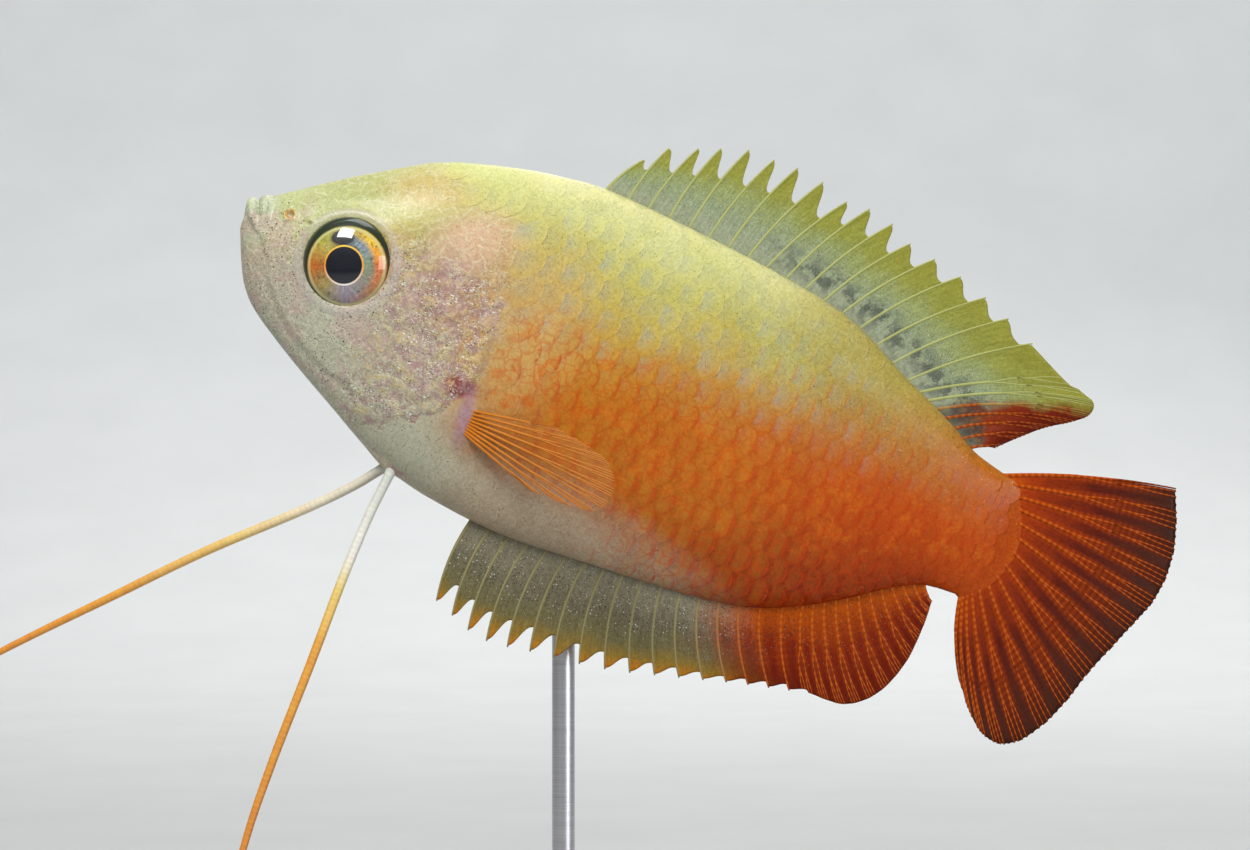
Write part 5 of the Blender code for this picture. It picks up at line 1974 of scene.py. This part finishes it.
def wood_material() -> Material:
    """Make dark oiled walnut with its grain along the base.

    Returns:
        The material.
    """
    made, graph = new_material("walnut")
    place = graph.body_place()
    bands = graph.noise(graph.stretched(place, (40.0, 420.0, 420.0)), 1.0, 4.0, 0.6)
    fine = graph.noise(graph.stretched(place, (300.0, 4200.0, 4200.0)), 1.0, 2.0, 0.5)
    browns = ((0.25, (0.035, 0.017, 0.009)), (0.5, (0.10, 0.05, 0.025)), (0.72, (0.18, 0.095, 0.045)))
    pores = graph.step(fine, 0.60, 0.70)
    colour = graph.mix(pores * 0.6, graph.ramp(bands, browns), (0.02, 0.01, 0.006))
    normal = graph.bump(1.0 - pores, 0.3, 8e-05)
    graph.surface(base_color=colour, roughness=fine * 0.2 + 0.32, normal=normal,
                  coat_weight=0.25, coat_roughness=0.25)
    return made


def steel_material() -> Material:
    """Make steel brushed round its length.

    Returns:
        The material.
    """
    made, graph = new_material("brushed_steel")
    turned = graph.noise(graph.stretched(graph.body_place(), (300.0, 300.0, 30000.0)), 1.0, 2.0, 0.6)
    colour = graph.ramp(turned, ((0.3, (0.50, 0.50, 0.52)), (0.7, (0.66, 0.66, 0.68))))
    normal = graph.bump(turned, 0.15, 0.00003)
    graph.surface(base_color=colour, roughness=turned * 0.2 + 0.22, metallic=1.0, normal=normal)
    return made


@dataclass
class Stand:
    """Wooden base and the steel rod that holds the fish."""

    length: float = 0.046
    width: float = 0.032
    height: float = 0.0036
    corner: float = 0.007
    bevel: float = 0.0006
    rod_radius: float = 0.00065
    rod_at: Pair = (-0.0035, 0.0021)
    rod_sides: int = 40
    sharp: float = math.radians(40.0)
    collar_radius: float = 0.0014
    collar_height: float = 0.0010

    def build(self, wood: Material, steel: Material) -> list[Piece]:
        """Make the base and the rod.

        Args:
            wood: material of the base.
            steel: material of the rod.

        Returns:
            The finished pieces.
        """
        return [self.base(wood), self.rod(steel)]

    def base(self, wood: Material) -> Piece:
        """Make the flat plate, with round corners and softened edges.

        Args:
            wood: its material.

        Returns:
            The finished piece.
        """
        shape = bmesh.new()
        size = Matrix.Diagonal((self.length, self.width, self.height, 1.0))
        bmesh.ops.create_cube(shape, size=1.0, matrix=Matrix.Translation((0.0, 0.0, self.height / 2)) @ size)
        upright = [edge for edge in shape.edges if abs(edge.verts[0].co.z - edge.verts[1].co.z) > self.bevel]
        bmesh.ops.bevel(shape, geom=upright, offset=self.corner, segments=14, profile=0.5, affect="EDGES")
        flat = [face for face in shape.faces if abs(face.normal.z) > 0.9]
        edges = list({edge for face in flat for edge in face.edges})
        bmesh.ops.bevel(shape, geom=edges, offset=self.bevel, segments=4, profile=0.5, affect="EDGES")
        mesh = bpy.data.meshes.new("stand_plate")
        shape.to_mesh(mesh)
        shape.free()
        mesh.shade_smooth()
        mesh.set_sharp_from_angle(angle=self.sharp)
        mesh.materials.append(wood)
        return finish_piece(add_object("stand_plate", mesh), ("stand_base",))

    def rod(self, steel: Material) -> Piece:
        """Make the upright bar, with a turned collar at its foot.

        Args:
            steel: its material.

        Returns:
            The finished piece.
        """
        top = float(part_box("stand_rod")[1].z)
        radius, collar = self.rod_radius, self.collar_radius
        low, high = self.height, self.height + self.collar_height
        profile = (
            (low - 0.0016, radius), (low - 0.0002, collar), (low + 0.0006, collar),
            (low + 0.0008, collar - 0.0002), (high, radius + 0.0002), (high + 0.0002, radius),
            (top - 0.0012, radius), (top + 0.0006, radius),
        )
        turn = angles_round(self.rod_sides)
        x, y = self.rod_at
        rings = [
            np.stack((x + r * np.cos(turn), y + r * np.sin(turn), np.full(self.rod_sides, z)), -1)
            for z, r in profile
        ]
        points, faces = loft(np.array(rings), (x, y, profile[0][0]), (x, y, profile[-1][0] + 0.0002))
        made = make_object("stand_post", points, faces)
        face_out(made)
        made.data.set_sharp_from_angle(angle=self.sharp)
        made.data.materials.append(steel)
        return finish_piece(made, ("stand_rod",))


@dataclass
class Studio:
    """Camera, pale floor with a curved backdrop, and soft lights."""

    camera_place: Triple = (0.0, -0.1953, 0.0395)
    lens: float = 100.0
    target: Triple = (-0.002, 0.0, 0.032)
    curve: float = 0.30
    half_width: float = 1.6
    sky: Colour = (0.86, 0.90, 0.94)

    def build(self) -> None:
        """Set up the studio."""
        view = bpy.data.cameras.new("camera")
        view.lens = self.lens
        view.sensor_width = 36.0
        view.clip_start = 0.01
        view.clip_end = 20.0
        camera = add_object("camera", view)
        camera.location = self.camera_place
        camera.rotation_euler = (math.pi / 2.0, 0.0, 0.0)
        bpy.context.scene.camera = camera
        self.floor()
        self.light("key", (-0.11, -0.23, 0.33), 0.13, 1.40, WARM_WHITE)
        self.light("fill", (0.34, -0.30, 0.07), 0.22, 0.95, COOL_WHITE)
        self.light("top", (0.04, 0.06, 0.38), 0.20, 0.35, WHITE)
        self.light("back", (0.10, 0.29, 0.29), 0.24, 0.55, WARM_WHITE)
        self.light("backdrop", (0.0, 0.05, 0.50), 0.40, 1.9, WHITE, (0.0, 0.70, 0.40))
        world = bpy.data.worlds.new("studio")
        world.use_nodes = True
        graph = Graph(world.node_tree)
        seen = graph.add("ShaderNodeLightPath").outputs["Is Camera Ray"]
        strength = graph.add("ShaderNodeMapRange", {"Value": seen, "To Min": 0.16, "To Max": 0.72}).outputs[0]
        background = graph.add("ShaderNodeBackground", {"Color": self.sky, "Strength": strength})
        graph.add("ShaderNodeOutputWorld", {"Surface": background.outputs[0]})
        bpy.context.scene.world = world
        bpy.context.scene.view_settings.view_transform = "Standard"

    def floor(self) -> None:
        """Make the floor, which curves up into a backdrop behind the model."""
        turn = np.linspace(0.0, math.pi / 2.0, 24)
        profile = [(-1.2, 0.0), (self.curve, 0.0)]
        profile += [(self.curve * (1.0 + math.sin(t)), self.curve * (1.0 - math.cos(t))) for t in turn[1:]]
        profile.append((2.0 * self.curve, 1.6))
        points = [(x, y, z) for x in (-self.half_width, self.half_width) for y, z in profile]
        count = len(profile)
        faces = [(row, count + row, count + row + 1, row + 1) for row in range(count - 1)]
        made = make_object("studio_floor", np.array(points), faces)
        material, graph = new_material("studio_floor")
        place = graph.body_place()
        paper = graph.noise(place, 60.0, 3.0, 0.5)
        # Painted shade: the floor near the model is darker than the backdrop, against the light that falls
        # strongest there.
        far = graph.step(graph.split(place)[1], 0.12, 0.42)
        near = graph.ramp(paper, ((0.3, (0.42, 0.43, 0.435)), (0.7, (0.44, 0.45, 0.455))))
        pale = graph.ramp(paper, ((0.3, (0.72, 0.74, 0.74)), (0.7, (0.75, 0.77, 0.77))))
        graph.surface(base_color=graph.mix(far, near, pale), roughness=0.9)
        made.data.materials.append(material)

    def light(self, name: str, place: Triple, size: float, power: float, colour: Colour,
              target: Triple | None = None) -> None:
        """Add a soft square light.

        Args:
            name: name of the light.
            place: where it stands.
            size: length of its sides.
            power: its power in watts.
            colour: its colour.
            target: what it faces, or None for the model.
        """
        lamp = bpy.data.lights.new(name, "AREA")
        lamp.size = size
        lamp.energy = power
        lamp.color = colour
        made = add_object(name, lamp)
        made.location = place
        toward = Vector(target or self.target) - Vector(place)
        made.rotation_euler = toward.to_track_quat("-Z", "Y").to_euler()


RIGHT_THREAD = (
    (27.6, 1.4, -21.4), (25.2, 1.9, -24.6), (20.6, 2.9, -29.7), (11.1, 5.0, -39.4), (1.9, 7.2, -49.8),
    (-7.3, 9.2, -60.3), (-19.7, 11.6, -75.2),
)
LEFT_THREAD = (
    (29.2, -1.4, -21.6), (28.9, -2.0, -27.0), (29.0, -3.2, -35.2), (29.5, -5.0, -46.0), (30.0, -6.8, -60.2),
    (31.0, -8.2, -71.3), (34.2, -10.4, -92.8),
)
DORSAL_FINISH = FinFinish(
    "dorsal_membrane",
    (
        (0.0, (0.30, 0.33, 0.22)), (0.22, (0.28, 0.33, 0.20)), (0.45, (0.28, 0.32, 0.12)),
        (0.62, (0.27, 0.28, 0.055)), (1.0, (0.27, 0.26, 0.035)),
    ),
    (
        (0.0, (0.13, 0.12, 0.08)), (0.16, (0.17, 0.08, 0.03)), (0.3, (0.23, 0.026, 0.002)),
        (0.75, (0.16, 0.012, 0.001)), (1.0, (0.10, 0.009, 0.002)),
    ),
    (18.0, 19.6), (0.42, 0.44, 0.15), (0.30, 0.045, 0.003), 0.5, smudge=0.65,
)
ANAL_FINISH = FinFinish(
    "anal_membrane",
    (
        (0.0, (0.21, 0.19, 0.13)), (0.35, (0.14, 0.125, 0.078)), (0.66, (0.14, 0.12, 0.05)),
        (0.84, (0.24, 0.15, 0.025)), (1.0, (0.48, 0.16, 0.006)),
    ),
    (
        (0.0, (0.38, 0.062, 0.001)), (0.4, (0.20, 0.016, 0.001)), (0.8, (0.13, 0.009, 0.001)),
        (1.0, (0.12, 0.011, 0.001)),
    ),
    (11.0, 15.5), (0.28, 0.25, 0.11), (0.42, 0.066, 0.001), 0.9, bundle=0.4,
)
TAIL_REDS = (
    (0.0, (0.46, 0.066, 0.001)), (0.12, (0.33, 0.034, 0.001)), (0.5, (0.10, 0.008, 0.001)),
    (1.0, (0.045, 0.011, 0.004)),
)
TAIL_FINISH = FinFinish(
    "tail_membrane", TAIL_REDS, TAIL_REDS, (-2.0, -1.0), (0.36, 0.050, 0.001), (0.38, 0.047, 0.001), 0.1,
    bundle=0.85,
)
PECTORAL_PEACH = ((0.0, (0.55, 0.25, 0.06)), (0.5, (0.60, 0.32, 0.12)), (1.0, (0.60, 0.40, 0.22)))
PECTORAL_FINISH = FinFinish(
    "pectoral_membrane", PECTORAL_PEACH, PECTORAL_PEACH, (-2.0, -1.0), (0.60, 0.19, 0.01), (0.60, 0.19, 0.01),
    0.1, 0.0,
)
FRONT_THREAD_FINISH = ThreadFinish((
    (0.0, (0.62, 0.60, 0.50)), (0.30, (0.74, 0.66, 0.50)), (0.45, (0.75, 0.52, 0.16)),
    (0.65, (0.72, 0.32, 0.04)), (1.0, (0.66, 0.22, 0.02)),
))
REAR_THREAD_FINISH = ThreadFinish((
    (0.0, (0.60, 0.62, 0.56)), (0.28, (0.78, 0.76, 0.68)), (0.36, (0.76, 0.58, 0.16)),
    (0.48, (0.74, 0.34, 0.04)), (1.0, (0.62, 0.18, 0.02)),
))


def main() -> None:
    """Build the studio, the fish and its stand, and report each piece."""
    Studio().build()
    make_specks()
    Markings().build()
    skin = SkinFinish()
    Skin().build(skin.build())
    scales = ScaleFinish(skin).build()
    eye = EyeFinish().build()
    pectoral = PECTORAL_FINISH.build()
    plan = FinPlan()
    for side in Side:
        ScaleCoat(side).build(scales)
        Eye(side).build(eye)
        plan.pectoral(side).build(pectoral)
    plan.dorsal().build(DORSAL_FINISH.build())
    plan.anal().build(ANAL_FINISH.build())
    plan.tail().build(TAIL_FINISH.build())
    threads = (
        (Side.RIGHT, RIGHT_THREAD, FRONT_THREAD_FINISH),
        (Side.LEFT, LEFT_THREAD, REAR_THREAD_FINISH),
    )
    for side, line, finish in threads:
        nodes = tuple(f"pelvic_thread_{side.word}_{number}" for number in (1, 2, 3))
        Thread(side, line, nodes).build(finish.build(f"thread_{side.word}"))
    Stand().build(wood_material(), steel_material())


if __name__ == "__main__":
    logging.basicConfig(level=logging.INFO, format="%(name)s %(message)s")
    main()
